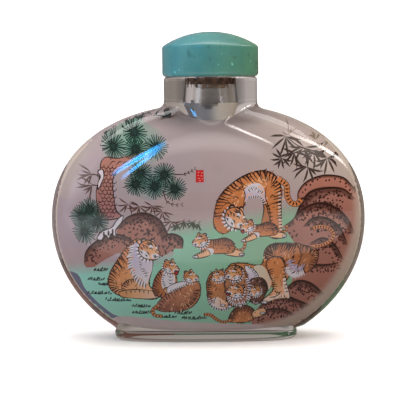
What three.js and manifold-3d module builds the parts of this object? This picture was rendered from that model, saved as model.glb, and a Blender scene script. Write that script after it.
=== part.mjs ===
import * as THREE from "three";
import Module from "manifold-3d";

// Snuff bottle: flattened oval glass body with a round neck, a low foot, and a domed stopper on a cork.
// Millimetres, +Z up, the painted face towards -Y, the middle of the foot's underside level with Z = 0.

// Body
const BODY_HALF_WIDTH = 38.0;
const BODY_HALF_DEPTH = 14.5;
const WIDEST_Z = 28.6;
const SHOULDER_RISE = 28.1;
const SHOULDER_POWER = 2.2;
const BELLY_DROP = 32.8;
const DEPTH_RISE = 38.4;
const DEPTH_DROP = 31.0;
const SECTION_POWER = 2.2;
const BODY_LOW_Z = 1.0;

// Neck, set a little to the right of the body as on the hand-worked original
const NECK_OFFSET = 0.8;
const NECK_RADIUS = 11.25;
const RIM_Z = 63.1;
const RIM_ROUND = 0.6;
const BORE_TOP_RADIUS = 4.0;
const BORE_LOW_RADIUS = 4.9;
const BORE_LOW_Z = 51.5;

// Hollow inside the body
const WALL_SIDE = 3.4;
const WALL_FRONT = 2.6;
const CEILING_Z = 53.7;
const CEILING_ROUND = 7.7;
const FLOOR_Z = 2.0;
const FLOOR_ROUND = 1.2;

// Foot, set a little to the left of the body
const FOOT_OFFSET = -0.8;
const FOOT_HALF_WIDTH = 22.1;
const FOOT_HALF_DEPTH = 9.0;
const FOOT_POWER = 3.0;
const FOOT_HEIGHT = 2.0;
const FOOT_ROUND = 1.0;
const COVE_TOP_Z = 3.4;
const COVE_INSET = 0.6;

// Stopper and cork
const CAP_RADIUS = 11.6;
const CAP_HEIGHT = 10.85;
const CAP_DOME_RADIUS = 20.9;
const CAP_SHOULDER = 1.0;
const CAP_EDGE = 1.0;
const CORK_LENGTH = 2.5;
const CORK_GAP = 0.3;

const SIDES_BODY = 64;
const SIDES_HOLLOW = 48;
const SIDES_ROUND = 48;

const wasm = await Module();
wasm.setup();

// Quarter-round factor: 0 at u = 0, 1 from u = 1 on
function quarter(u) {
  const v = 1 - Math.min(Math.max(u, 0), 1);
  return Math.sqrt(Math.max(1 - v * v, 0));
}

function arch(t, power) {
  return Math.pow(Math.max(1 - Math.pow(Math.abs(t), power), 0), 1 / power);
}

function bodyHalfWidth(z) {
  const d = z - WIDEST_Z;
  const t = d > 0 ? arch(d / SHOULDER_RISE, SHOULDER_POWER) : arch(d / BELLY_DROP, 2);
  return BODY_HALF_WIDTH * t;
}

function bodyHalfDepth(z) {
  const d = z - WIDEST_Z;
  return BODY_HALF_DEPTH * arch(d > 0 ? d / DEPTH_RISE : d / DEPTH_DROP, 2);
}

function hollowHalfWidth(z) {
  const d = z - WIDEST_Z;
  const rise = CEILING_Z - WIDEST_Z;
  const t = d > 0 ? arch(d / rise, SHOULDER_POWER) : arch(d / (BELLY_DROP - WALL_SIDE), 2);
  return (BODY_HALF_WIDTH - WALL_SIDE) * t * quarter((z - FLOOR_Z) / FLOOR_ROUND);
}

function hollowHalfDepth(z) {
  const ends = quarter((z - FLOOR_Z) / FLOOR_ROUND) * quarter((CEILING_Z - z) / CEILING_ROUND);
  return (bodyHalfDepth(z) - WALL_FRONT) * ends;
}

// One level loop of a solid: a rounded oval of the given half-width, half-depth and squareness
function loop(z, halfWidth, halfDepth, power, sides, offset = 0) {
  const points = [];
  for (let i = 0; i < sides; i += 1) {
    const a = (2 * Math.PI * i) / sides;
    const c = Math.cos(a);
    const s = Math.sin(a);
    const x = halfWidth * Math.sign(c) * Math.pow(Math.abs(c), 2 / power);
    const y = halfDepth * Math.sign(s) * Math.pow(Math.abs(s), 2 / power);
    points.push([x + offset, y, z]);
  }
  return points;
}

// Closed solid through a stack of loops, lowest first, with flat ends
function loft(loops) {
  const sides = loops[0].length;
  const positions = loops.flat(2);
  const index = [];
  for (let r = 0; r + 1 < loops.length; r += 1) {
    for (let i = 0; i < sides; i += 1) {
      const a = r * sides + i;
      const b = r * sides + ((i + 1) % sides);
      index.push(a, b, b + sides, a, b + sides, a + sides);
    }
  }
  const last = (loops.length - 1) * sides;
  for (let i = 1; i + 1 < sides; i += 1) {
    index.push(0, i + 1, i);
    index.push(last, last + i, last + i + 1);
  }
  return solid(positions, index);
}

function solid(positions, index) {
  const mesh = new wasm.Mesh({
    numProp: 3,
    vertProperties: new Float32Array(positions),
    triVerts: new Uint32Array(index),
  });
  return new wasm.Manifold(mesh);
}

// Turned solid about the neck's axis from [radius, z] pairs, lowest first
function turned(profile) {
  return loft(profile.map(([r, z]) => loop(z, r, r, 2, SIDES_ROUND, NECK_OFFSET)));
}

// Levels between two heights, closer together towards both ends
function levels(low, high, count) {
  const list = [];
  for (let i = 0; i <= count; i += 1) {
    list.push(low + ((high - low) * (1 - Math.cos((Math.PI * i) / count))) / 2);
  }
  return list;
}

function bodySolid() {
  const top = WIDEST_Z + SHOULDER_RISE - 0.3;
  const loops = levels(BODY_LOW_Z, top, 28).map((z) =>
    loop(z, bodyHalfWidth(z), bodyHalfDepth(z), SECTION_POWER, SIDES_BODY),
  );
  return loft(loops);
}

function footSolid() {
  const steps = [
    [0, FOOT_ROUND],
    [0.13, FOOT_ROUND / 2],
    [0.5, 0.13],
    [FOOT_ROUND, 0],
    [FOOT_HEIGHT - 0.3, 0],
    [FOOT_HEIGHT, 0.25],
    [FOOT_HEIGHT + 0.35, COVE_INSET * 0.6],
    [FOOT_HEIGHT + 0.8, COVE_INSET * 0.85],
    [COVE_TOP_Z, COVE_INSET],
  ];
  const loops = steps.map(([z, inset]) =>
    loop(z, FOOT_HALF_WIDTH - inset, FOOT_HALF_DEPTH - inset, FOOT_POWER, SIDES_BODY, FOOT_OFFSET),
  );
  return loft(loops);
}

function neckSolid() {
  const r = NECK_RADIUS;
  const rim = [30, 60, 90].map((deg) => {
    const a = (deg * Math.PI) / 180;
    return [r - RIM_ROUND * (1 - Math.cos(a)), RIM_Z - RIM_ROUND * (1 - Math.sin(a))];
  });
  return turned([[r, BORE_LOW_Z - 2], [r, RIM_Z - RIM_ROUND], ...rim]);
}

function hollowSolid() {
  const loops = levels(FLOOR_Z + 0.03, CEILING_Z - 0.1, 24).map((z) =>
    loop(z, hollowHalfWidth(z), hollowHalfDepth(z), SECTION_POWER, SIDES_HOLLOW),
  );
  return loft(loops);
}

function boreSolid() {
  return turned([
    [BORE_LOW_RADIUS, BORE_LOW_Z],
    [BORE_TOP_RADIUS, RIM_Z - 3],
    [BORE_TOP_RADIUS, RIM_Z + 1],
  ]);
}

// Straight side with a rounded lower edge, a rounded shoulder and a shallow dome
function capSolid() {
  const profile = [[CAP_RADIUS - CAP_EDGE, RIM_Z]];
  for (const deg of [30, 60, 90]) {
    const a = (deg * Math.PI) / 180;
    const r = CAP_RADIUS - CAP_EDGE * (1 - Math.sin(a));
    profile.push([r, RIM_Z + CAP_EDGE * (1 - Math.cos(a))]);
  }
  const inner = CAP_RADIUS - CAP_SHOULDER;
  const reach = CAP_DOME_RADIUS - CAP_SHOULDER;
  const lean = Math.asin(inner / reach);
  const domeCentre = RIM_Z + CAP_HEIGHT - CAP_DOME_RADIUS;
  const shoulderZ = domeCentre + reach * Math.cos(lean);
  for (const share of [0, 0.25, 0.5, 0.75]) {
    const a = share * (Math.PI / 2 - lean);
    profile.push([inner + CAP_SHOULDER * Math.cos(a), shoulderZ + CAP_SHOULDER * Math.sin(a)]);
  }
  for (const share of [1, 0.8, 0.6, 0.4, 0.2, 0.04]) {
    const a = share * lean;
    profile.push([CAP_DOME_RADIUS * Math.sin(a), domeCentre + CAP_DOME_RADIUS * Math.cos(a)]);
  }
  return turned(profile);
}

function corkSolid() {
  const r = BORE_TOP_RADIUS - CORK_GAP;
  return turned([
    [r - 0.4, RIM_Z - CORK_LENGTH],
    [r - 0.1, RIM_Z - CORK_LENGTH + 0.4],
    [r, RIM_Z],
  ]);
}

function piece(name, manifold, color, roughness) {
  const mesh = manifold.getMesh();
  const points = new Float32Array((mesh.vertProperties.length / mesh.numProp) * 3);
  for (let i = 0; i * 3 < points.length; i += 1) {
    for (let k = 0; k < 3; k += 1) {
      points[i * 3 + k] = mesh.vertProperties[i * mesh.numProp + k];
    }
  }
  const geometry = new THREE.BufferGeometry();
  geometry.setAttribute("position", new THREE.BufferAttribute(points, 3));
  geometry.setIndex(new THREE.BufferAttribute(new Uint32Array(mesh.triVerts), 1));
  geometry.computeVertexNormals();
  const material = new THREE.MeshStandardMaterial({ color, roughness });
  const node = new THREE.Mesh(geometry, material);
  node.name = name;
  return node;
}

const shell = bodySolid().add(footSolid()).add(neckSolid());
const bottle = shell.subtract(hollowSolid().add(boreSolid()));

const model = new THREE.Group();
model.name = "snuff_bottle";
model.add(piece("bottle", bottle, 0xb4aaa6, 0.1));
model.add(piece("stopper_cap", capSolid(), 0x56967d, 0.25));
model.add(piece("stopper_cork", corkSolid(), 0x6b4a2f, 0.8));

export default model;
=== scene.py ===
import math

import bmesh
import bpy
import numpy as np
from mathutils import Matrix, Vector, geometry


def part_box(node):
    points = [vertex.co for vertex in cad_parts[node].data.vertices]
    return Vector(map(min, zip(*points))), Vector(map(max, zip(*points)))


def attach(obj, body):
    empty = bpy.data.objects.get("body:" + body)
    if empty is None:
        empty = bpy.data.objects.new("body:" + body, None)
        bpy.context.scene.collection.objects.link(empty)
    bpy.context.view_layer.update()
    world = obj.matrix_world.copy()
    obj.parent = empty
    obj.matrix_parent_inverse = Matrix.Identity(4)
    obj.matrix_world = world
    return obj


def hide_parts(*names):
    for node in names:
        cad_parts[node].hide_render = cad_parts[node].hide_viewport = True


bl_info = {
    "name": "Inside-painted snuff bottle",
    "version": (1, 0, 0),
    "blender": (4, 5, 0),
    "location": "3D View > Sidebar > Snuff Bottle",
    "description": "Flattened glass snuff bottle painted on its inner wall, with a domed stopper on a cork",
    "category": "Object",
}

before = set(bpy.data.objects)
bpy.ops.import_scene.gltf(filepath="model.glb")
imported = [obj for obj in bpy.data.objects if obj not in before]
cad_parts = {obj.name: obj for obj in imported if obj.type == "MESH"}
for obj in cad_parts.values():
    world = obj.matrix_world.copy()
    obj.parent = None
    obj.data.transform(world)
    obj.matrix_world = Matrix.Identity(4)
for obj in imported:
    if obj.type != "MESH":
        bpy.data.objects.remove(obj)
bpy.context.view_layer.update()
BOTTLE_LOW, BOTTLE_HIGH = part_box("bottle")
CAP_LOW, CAP_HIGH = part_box("stopper_cap")
CORK_LOW, CORK_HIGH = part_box("stopper_cork")

MM = 0.001
BODY = "root"

# Heights and half-sizes of the glass, in millimetres; the outer ones are read off the frame
HALF_WIDTH = (BOTTLE_HIGH.x - BOTTLE_LOW.x) / 2 / MM
HALF_DEPTH = (BOTTLE_HIGH.y - BOTTLE_LOW.y) / 2 / MM
RIM_Z = BOTTLE_HIGH.z / MM
NECK_X = (CAP_LOW.x + CAP_HIGH.x) / 2 / MM
WIDEST_Z = 28.6
SHOULDER_RISE = 28.1
SHOULDER_POWER = 2.2
BELLY_DROP = 32.8
DEPTH_RISE = 38.4
DEPTH_DROP = 31.0
SECTION_POWER = 2.2
NECK_RADIUS = 11.25
RIM_ROUND = 0.6
NECK_FILLET = 1.7
BORE_RADIUS = 4.0
BORE_EDGE = 0.35
BORE_LOW_RADIUS = 4.8
CEILING_Z = 52.4
CEILING_ROUND = 7.0
WALL_SIDE = 3.4
WALL_FRONT = 2.6
FLOOR_Z = 2.0
FLOOR_ROUND = 1.2
FOOT_X = -0.8
FOOT_HALF_WIDTH = 22.1
FOOT_HALF_DEPTH = 9.0
FOOT_POWER = 3.0
FOOT_HEIGHT = 2.0
FOOT_ROUND = 1.0
# Rings of the foot's upper edge: how far below its top, and how far drawn in
FOOT_EDGE = ((0.4, 0.0), (0.12, 0.12), (0.0, 0.4))
COVE_TOP_Z = 5.6
COVE_SIDE_Z = 3.0
COVE_LEAN = -0.012

# The cork's nearly flat top, in metres
CORK_SHOULDER = 0.00005
CORK_DOME = 0.2

# How finely the meshes are divided
COLUMNS = 160
BODY_RINGS = 60
BORE_STEPS = 14
CAP_SIDES = 129
CORK_SIDES = 65
TURNED_STEPS = 65
FRONT_GRID = 1.0
BACK_GRID = 1.4
EDGE_STEP = 0.8
GLASS_SLOT = 0
PAINT_SLOT = 1

# How far brushed shapes keep clear of the painted wall's edge
WALL_MARGIN = 0.05
EDGE_SHARE = 0.998
EDGE_SLACK = 0.0005

# Steps of the bore that are painted, from below, and stained by the cork, from above
BORE_PAINTED = 5.2
PAINT_SWAY = 1.6
CORK_STEPS = 2.6
STAIN_SWAY = 1.3
CORK_STAIN = (74, 52, 40)
# Ground at the foot of the bore: painted shade on the left and painted light on the right
BORE_SHADED_GROUND = (118, 118, 122)
BORE_LIT_GROUND = (176, 168, 156)

# Camera: the picture's side in pixels, the aimed-at point's pixel, and its height and scale
FRAME_SIDE = 400
AIM_AT = (207.2, 186.0)
AIM_Z = 36.7
CAMERA_REACH = 320.0
CAMERA_SCALE = 4.12
CAMERA_RISE = 4.0
CAMERA_ROLL = 0.5
STAGE_MIDDLE = Vector((0, 0, 0.03))

# Floor and backdrop, in metres
PAPER_HALF_WIDTH = 1.6
PAPER_FRONT = -1.6
PAPER_JOIN = -0.06
PAPER_FLOOR_END = 0.9
PAPER_SWEEP = 0.7
PAPER_TOP = 2.2
PAPER_COLOUR = (0.92, 0.92, 0.92, 1)

# Lights: name, the two ends as degrees round from the camera and degrees up, thickness in degrees, glow,
# colour and distance in metres. The fills light the colours, and the gleams are seen only as reflections.
FILLS = (
    ("overhead", (-40, 64), (110, 60), 56, 3.2, (1, 0.96, 0.91), 1.1),
    ("warm right", (36, 22), (72, 38), 28, 8.5, (1, 0.90, 0.79), 0.9),
    ("cool left", (-78, 14), (-42, 28), 28, 8.0, (0.80, 0.88, 1), 0.9),
)
GLEAMS = (
    ("ceiling", (-2, 66), (100, 58), 46, 2.4, (1, 0.96, 0.92), 1.1),
    ("front band", (-26, 22), (26, 22), 9, 3.0, (1, 0.96, 0.93), 0.9),
    ("right haze", (40, 26), (84, 40), 26, 2.0, (1, 0.94, 0.86), 0.9),
    ("left haze", (-84, 10), (-56, 20), 24, 1.8, (0.86, 0.92, 1), 0.9),
    ("shoulder streak", (8, 34), (31, 30), 3.0, 18, (1, 0.98, 0.94), 0.9),
    ("right window", (60, 48), (120, 20), 7.5, 15, (1, 0.98, 0.95), 0.9),
    ("blue streak", (-39, 16.4), (-16, 26.4), 4.8, 36, (0.02, 0.42, 1.0), 0.9),
    ("blue finger", (-32, 12.8), (-17, 23.8), 2.8, 30, (0.02, 0.42, 1.0), 0.9),
)
BACKDROP_LIGHT_SIZE = 1.6
BACKDROP_LIGHT_WATTS = 26
BACKDROP_LIGHT_PLACE = (0, 0.5, 1.3)
BACKDROP_LIGHT_TARGET = (0, 1.5, 0.3)

# The room's glow to the left and to the right
ROOM_LEFT = (0.50, 0.44, 0.43, 1)
ROOM_RIGHT = (0.17, 0.14, 0.115, 1)


# Rules for the glass

def arch(t, power):
    """1 at t = 0, falling to 0 at t = -1 and t = 1 along a rounded arch."""
    return np.maximum(1 - np.abs(t) ** power, 0) ** (1 / power)


def quarter(u):
    """Rises from 0 at u = 0 to 1 at u = 1 along a quarter circle."""
    return np.sqrt(np.maximum(1 - (1 - np.clip(u, 0, 1)) ** 2, 0))


def ease(u):
    """A soft step from 0 at u = 0 to 1 at u = 1."""
    u = np.clip(u, 0, 1)
    return u * u * (3 - 2 * u)


def body_half_width(z):
    """Half the body's width at a height."""
    d = z - WIDEST_Z
    return HALF_WIDTH * np.where(d > 0, arch(d / SHOULDER_RISE, SHOULDER_POWER), arch(d / BELLY_DROP, 2))


def body_half_depth(z):
    """Half the body's depth at a height."""
    d = z - WIDEST_Z
    return HALF_DEPTH * np.where(d > 0, arch(d / DEPTH_RISE, 2), arch(d / DEPTH_DROP, 2))


def hollow_half_width(z):
    """Half the hollow's width at a height."""
    d = z - WIDEST_Z
    wide = HALF_WIDTH - WALL_SIDE
    above = BORE_LOW_RADIUS + (wide - BORE_LOW_RADIUS) * arch(
        np.clip(d / (CEILING_Z - WIDEST_Z), 0, 1), SHOULDER_POWER)
    below = wide * arch(d / (BELLY_DROP - WALL_SIDE), 2)
    return np.where(d > 0, above, below) * quarter((z - FLOOR_Z) / FLOOR_ROUND)


def hollow_half_depth(z):
    """Half the hollow's depth at a height."""
    deep = body_half_depth(z) - WALL_FRONT
    top = BORE_LOW_RADIUS + (deep - BORE_LOW_RADIUS) * quarter((CEILING_Z - z) / CEILING_ROUND)
    return top * quarter((z - FLOOR_Z) / FLOOR_ROUND)


def hollow_middle(z):
    """The hollow leans over to the neck's axis just below it."""
    return NECK_X * ease((z - (CEILING_Z - 10)) / 10)


def wall_depth(x, z):
    """How far the inner wall stands from the middle plane at a place on the picture."""
    wide = np.maximum(hollow_half_width(z), 1e-6)
    return hollow_half_depth(z) * arch(np.clip((x - hollow_middle(z)) / wide, -1, 1), SECTION_POWER)


def bisect(rule, low, high, rounds=44):
    """Where a rule that falls from plus to minus between low and high crosses zero."""
    for _ in range(rounds):
        middle = (low + high) / 2
        above = rule(middle) > 0
        low = np.where(above, middle, low)
        high = np.where(above, high, middle)
    return (low + high) / 2


# Meshes

class Skin:
    """Vertices and faces of one closed piece, with a material slot for each face."""

    def __init__(self):
        self.points = []
        self.faces = []
        self.slots = []
        self.count = 0

    def add_points(self, points):
        first = self.count
        self.points.append(np.asarray(points, float))
        self.count += len(points)
        return np.arange(first, self.count)

    def add_faces(self, faces, slot):
        self.faces.extend(tuple(int(i) for i in face) for face in faces)
        self.slots.extend(int(s) for s in np.broadcast_to(slot, len(faces)))

    def bridge(self, lower, upper, slot):
        """Quads between two loops of the same length; the loops run anticlockwise seen from above."""
        after_low = np.roll(lower, -1)
        after_up = np.roll(upper, -1)
        self.add_faces(np.stack([lower, after_low, after_up, upper], 1), slot)

    def fan(self, loop, centre, slot):
        """Triangles that close a loop from below."""
        tip = self.add_points([centre])[0]
        self.add_faces([(b, a, tip) for a, b in zip(loop, np.roll(loop, -1))], slot)

    def places(self, numbers):
        return np.vstack(self.points)[numbers]

    def mesh(self, name, colours):
        mesh = bpy.data.meshes.new(name)
        used = np.unique(np.concatenate([np.array(face) for face in self.faces]))
        renumber = np.zeros(self.count, int)
        renumber[used] = np.arange(len(used))
        points = np.vstack(self.points)[used] * MM
        mesh.from_pydata(points.tolist(), [], [tuple(renumber[list(face)]) for face in self.faces])
        mesh.polygons.foreach_set("material_index", self.slots)
        mesh.polygons.foreach_set("use_smooth", [True] * len(self.faces))
        paint = mesh.color_attributes.new("paint", "FLOAT_COLOR", "CORNER")
        paint.data.foreach_set("color", np.hstack([colours, np.ones((len(colours), 1))]).ravel())
        mesh.update()
        return mesh


def new_object(name, data):
    """An object of this data, linked to the scene."""
    item = bpy.data.objects.new(name, data)
    bpy.context.scene.collection.objects.link(item)
    return item


def finish_piece(item, *nodes, slot):
    """Puts a piece under its body and hides the solids it stands for; the slot it is given is not used."""
    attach(item, BODY)
    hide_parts(*nodes)


# The glass around the hollow

def column_angles():
    """Directions from the axis, closer together towards the narrow sides."""
    t = np.arange(COLUMNS) * 2 * math.pi / COLUMNS
    squash = math.sqrt(HALF_DEPTH / HALF_WIDTH)
    return np.arctan2(squash * np.sin(t), np.cos(t))


def oval(angles, half_width, half_depth, power):
    """Distance from the axis to a rounded oval, in each direction."""
    c = np.abs(np.cos(angles)) / half_width
    s = np.abs(np.sin(angles)) / half_depth
    return (c ** power + s ** power) ** (-1 / power)


def body_reach(angles, z, axis_x):
    """Distance from an upright axis at axis_x to the body's outside, in each direction."""
    wide = np.maximum(body_half_width(z), 1e-6)
    deep = np.maximum(body_half_depth(z), 1e-6)

    def inside(r):
        x = np.abs(axis_x + r * np.cos(angles)) / wide
        y = np.abs(r * np.sin(angles)) / deep
        return 1 - x ** SECTION_POWER - y ** SECTION_POWER

    return bisect(inside, np.zeros_like(angles), np.full_like(angles, 60.0))


def ring(angles, reach, z, axis_x):
    """One loop of points about an upright axis."""
    z = np.broadcast_to(z, angles.shape)
    return np.stack([axis_x + reach * np.cos(angles), reach * np.sin(angles), z], 1)


def bend(start, corner, end, count):
    """Points on a smooth bend from start to end that heads for the corner, without start."""
    steps = np.arange(1, count + 1) / count
    return [(1 - t) ** 2 * start + 2 * t * (1 - t) * corner + t * t * end for t in steps]


def bent_rings(angles, start, corner, end, count, axis_x):
    """Loops along a smooth bend, given as distances from the axis and heights."""
    return [ring(angles, point[:, 0], point[:, 1], axis_x) for point in bend(start, corner, end, count)]


def round_ring(angles, radius, z):
    """One round loop about the neck's axis."""
    return ring(angles, np.full_like(angles, radius), z, NECK_X)


def broad_side(angles):
    """1 on the broad sides and 0 at the narrow ends."""
    return ease((np.abs(np.sin(angles)) - 0.1) / 0.25)


def foot_side(angles, inset):
    """Distance from the foot's axis to its side, drawn in at the narrow ends only."""
    return oval(angles, FOOT_HALF_WIDTH, FOOT_HALF_DEPTH, FOOT_POWER) - inset * (1 - broad_side(angles))


def cove_height(angles):
    """Where the bend above the foot meets the body: higher on the broad sides, and a little aslant."""
    rise = (COVE_TOP_Z - COVE_SIDE_Z) * broad_side(angles)
    return COVE_SIDE_Z + rise + COVE_LEAN * FOOT_HALF_WIDTH * np.cos(angles)


def foot_rings(angles):
    """Loops from the underside up the foot and through the bend into the body."""
    loops = []
    for turn in np.linspace(0, 90, 7):
        a = math.radians(turn)
        inset = FOOT_ROUND * (1 - math.sin(a))
        reach = oval(angles, FOOT_HALF_WIDTH - inset, FOOT_HALF_DEPTH - inset, FOOT_POWER)
        loops.append(ring(angles, reach, FOOT_ROUND * (1 - math.cos(a)), FOOT_X))
    for drop, inset in FOOT_EDGE:
        reach = foot_side(angles, inset)
        loops.append(ring(angles, reach, FOOT_HEIGHT - drop, FOOT_X))
    cove_z = cove_height(angles)
    cove_reach = body_reach(angles, cove_z, FOOT_X)
    slope = (cove_reach - body_reach(angles, cove_z - 0.1, FOOT_X)) / 0.1
    bend_z = np.clip(cove_z - (cove_reach - reach) / slope, FOOT_HEIGHT + 0.2, cove_z)
    start = np.stack([reach, np.full_like(reach, FOOT_HEIGHT)], 1)
    corner = np.stack([np.minimum(reach, cove_reach), bend_z], 1)
    end = np.stack([cove_reach, cove_z], 1)
    return loops + bent_rings(angles, start, corner, end, 6, FOOT_X)


def neck_heights(angles):
    """Where the neck's side would meet the shoulder, and where the fillet between them starts."""
    meet_z = bisect(
        lambda z: body_reach(angles, z, NECK_X) - NECK_RADIUS,
        np.full_like(angles, 44.0), np.full_like(angles, WIDEST_Z + SHOULDER_RISE - 0.01))

    def short_of_fillet(z):
        return np.hypot(body_reach(angles, z, NECK_X) - NECK_RADIUS, meet_z - z) - NECK_FILLET

    return meet_z, bisect(short_of_fillet, meet_z - 12, meet_z)


def body_rings(angles, fillet_z):
    """Loops from the bend above the foot to the fillet under the neck."""
    cove_z = cove_height(angles)
    swing = np.linspace(-math.asin((WIDEST_Z - COVE_TOP_Z) / BELLY_DROP), math.radians(80), BODY_RINGS)
    rise = np.where(swing > 0, SHOULDER_RISE * np.abs(np.sin(swing)) ** (2 / SHOULDER_POWER),
                    BELLY_DROP * np.sin(swing))
    share = (rise - rise[0]) / (rise[-1] - rise[0])
    loops = []
    for s in share[1:]:
        z = cove_z + (fillet_z - cove_z) * s
        axis_x = FOOT_X * (1 - ease(s / 0.3)) + NECK_X * ease((s - 0.7) / 0.3)
        loops.append(ring(angles, body_reach(angles, z, axis_x), z, axis_x))
    return loops


def neck_rings(angles, meet_z, fillet_z):
    """Loops up the fillet and the neck's side and over the rounded rim."""
    start = np.stack([body_reach(angles, fillet_z, NECK_X), fillet_z], 1)
    corner = np.stack([np.full_like(angles, NECK_RADIUS), meet_z], 1)
    loops = bent_rings(angles, start, corner, corner + [0, NECK_FILLET], 8, NECK_X)
    low = meet_z + NECK_FILLET
    for s in (0.06, 0.3, 0.6, 0.94, 1.0):
        loops.append(round_ring(angles, NECK_RADIUS, low + (RIM_Z - RIM_ROUND - low) * s))
    for turn in (18, 36, 54, 72, 90):
        a = math.radians(turn)
        loops.append(round_ring(
            angles, NECK_RADIUS - RIM_ROUND * (1 - math.cos(a)), RIM_Z - RIM_ROUND * (1 - math.sin(a))))
    return loops


def bore_rings(angles):
    """Loops round the mouth and down the bore to the top of the hollow."""
    loops = []
    for turn in (0, 30, 60, 90):
        a = math.radians(turn)
        loops.append(round_ring(
            angles, BORE_RADIUS + BORE_EDGE * (1 - math.sin(a)), RIM_Z - BORE_EDGE * (1 - math.cos(a))))
    for s in np.linspace(0, 1, BORE_STEPS + 1)[1:]:
        z = RIM_Z - BORE_EDGE + (CEILING_Z - RIM_Z + BORE_EDGE) * s
        wide = BORE_RADIUS + (BORE_LOW_RADIUS - BORE_RADIUS) * s
        power = 2 + (SECTION_POWER - 2) * s
        loops.append(ring(angles, oval(angles, wide, wide, power), z, NECK_X))
    return loops


def glass_rings():
    """Loops of the outside from the underside of the foot up over the rim and down the bore."""
    angles = column_angles()
    meet_z, fillet_z = neck_heights(angles)
    return (foot_rings(angles) + body_rings(angles, fillet_z) + neck_rings(angles, meet_z, fillet_z)
            + bore_rings(angles))


# Painting on the inner wall

def curve(points, closed=False, steps=6):
    """A smooth run of points through the given ones."""
    p = np.asarray(points, float)
    if closed:
        p = np.vstack([p[-1:], p, p[:2]])
    else:
        p = np.vstack([2 * p[:1] - p[1:2], p, 2 * p[-1:] - p[-2:-1]])
    run = []
    for a, b, c, d in zip(p[:-3], p[1:-2], p[2:-1], p[3:]):
        for t in np.arange(steps) / steps:
            run.append(0.5 * (2 * b + (c - a) * t + (2 * a - 5 * b + 4 * c - d) * t ** 2
                              + (3 * b - a - 3 * c + d) * t ** 3))
    if not closed:
        run.append(p[-2])
    return np.array(run)


# Brushed colours, from 0 to 255
INK = (40, 20, 16)
SOOT = (30, 20, 20)
FUR = (200, 126, 74)
FUR_DEEP = (150, 84, 52)
FUR_DARK = (118, 66, 48)
FUR_PALE = (222, 174, 132)
WHITE = (210, 202, 206)
LILAC = (182, 168, 188)
RED = (196, 30, 34)
NEEDLE = (10, 34, 30)
PINE = (56, 122, 98)
STONE = (164, 110, 96)
STONE_DEEP = (148, 96, 82)
STONE_INK = (46, 20, 16)
BARK = (176, 120, 104)
BAMBOO = (62, 46, 40)
GRASS = (18, 42, 34)


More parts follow.
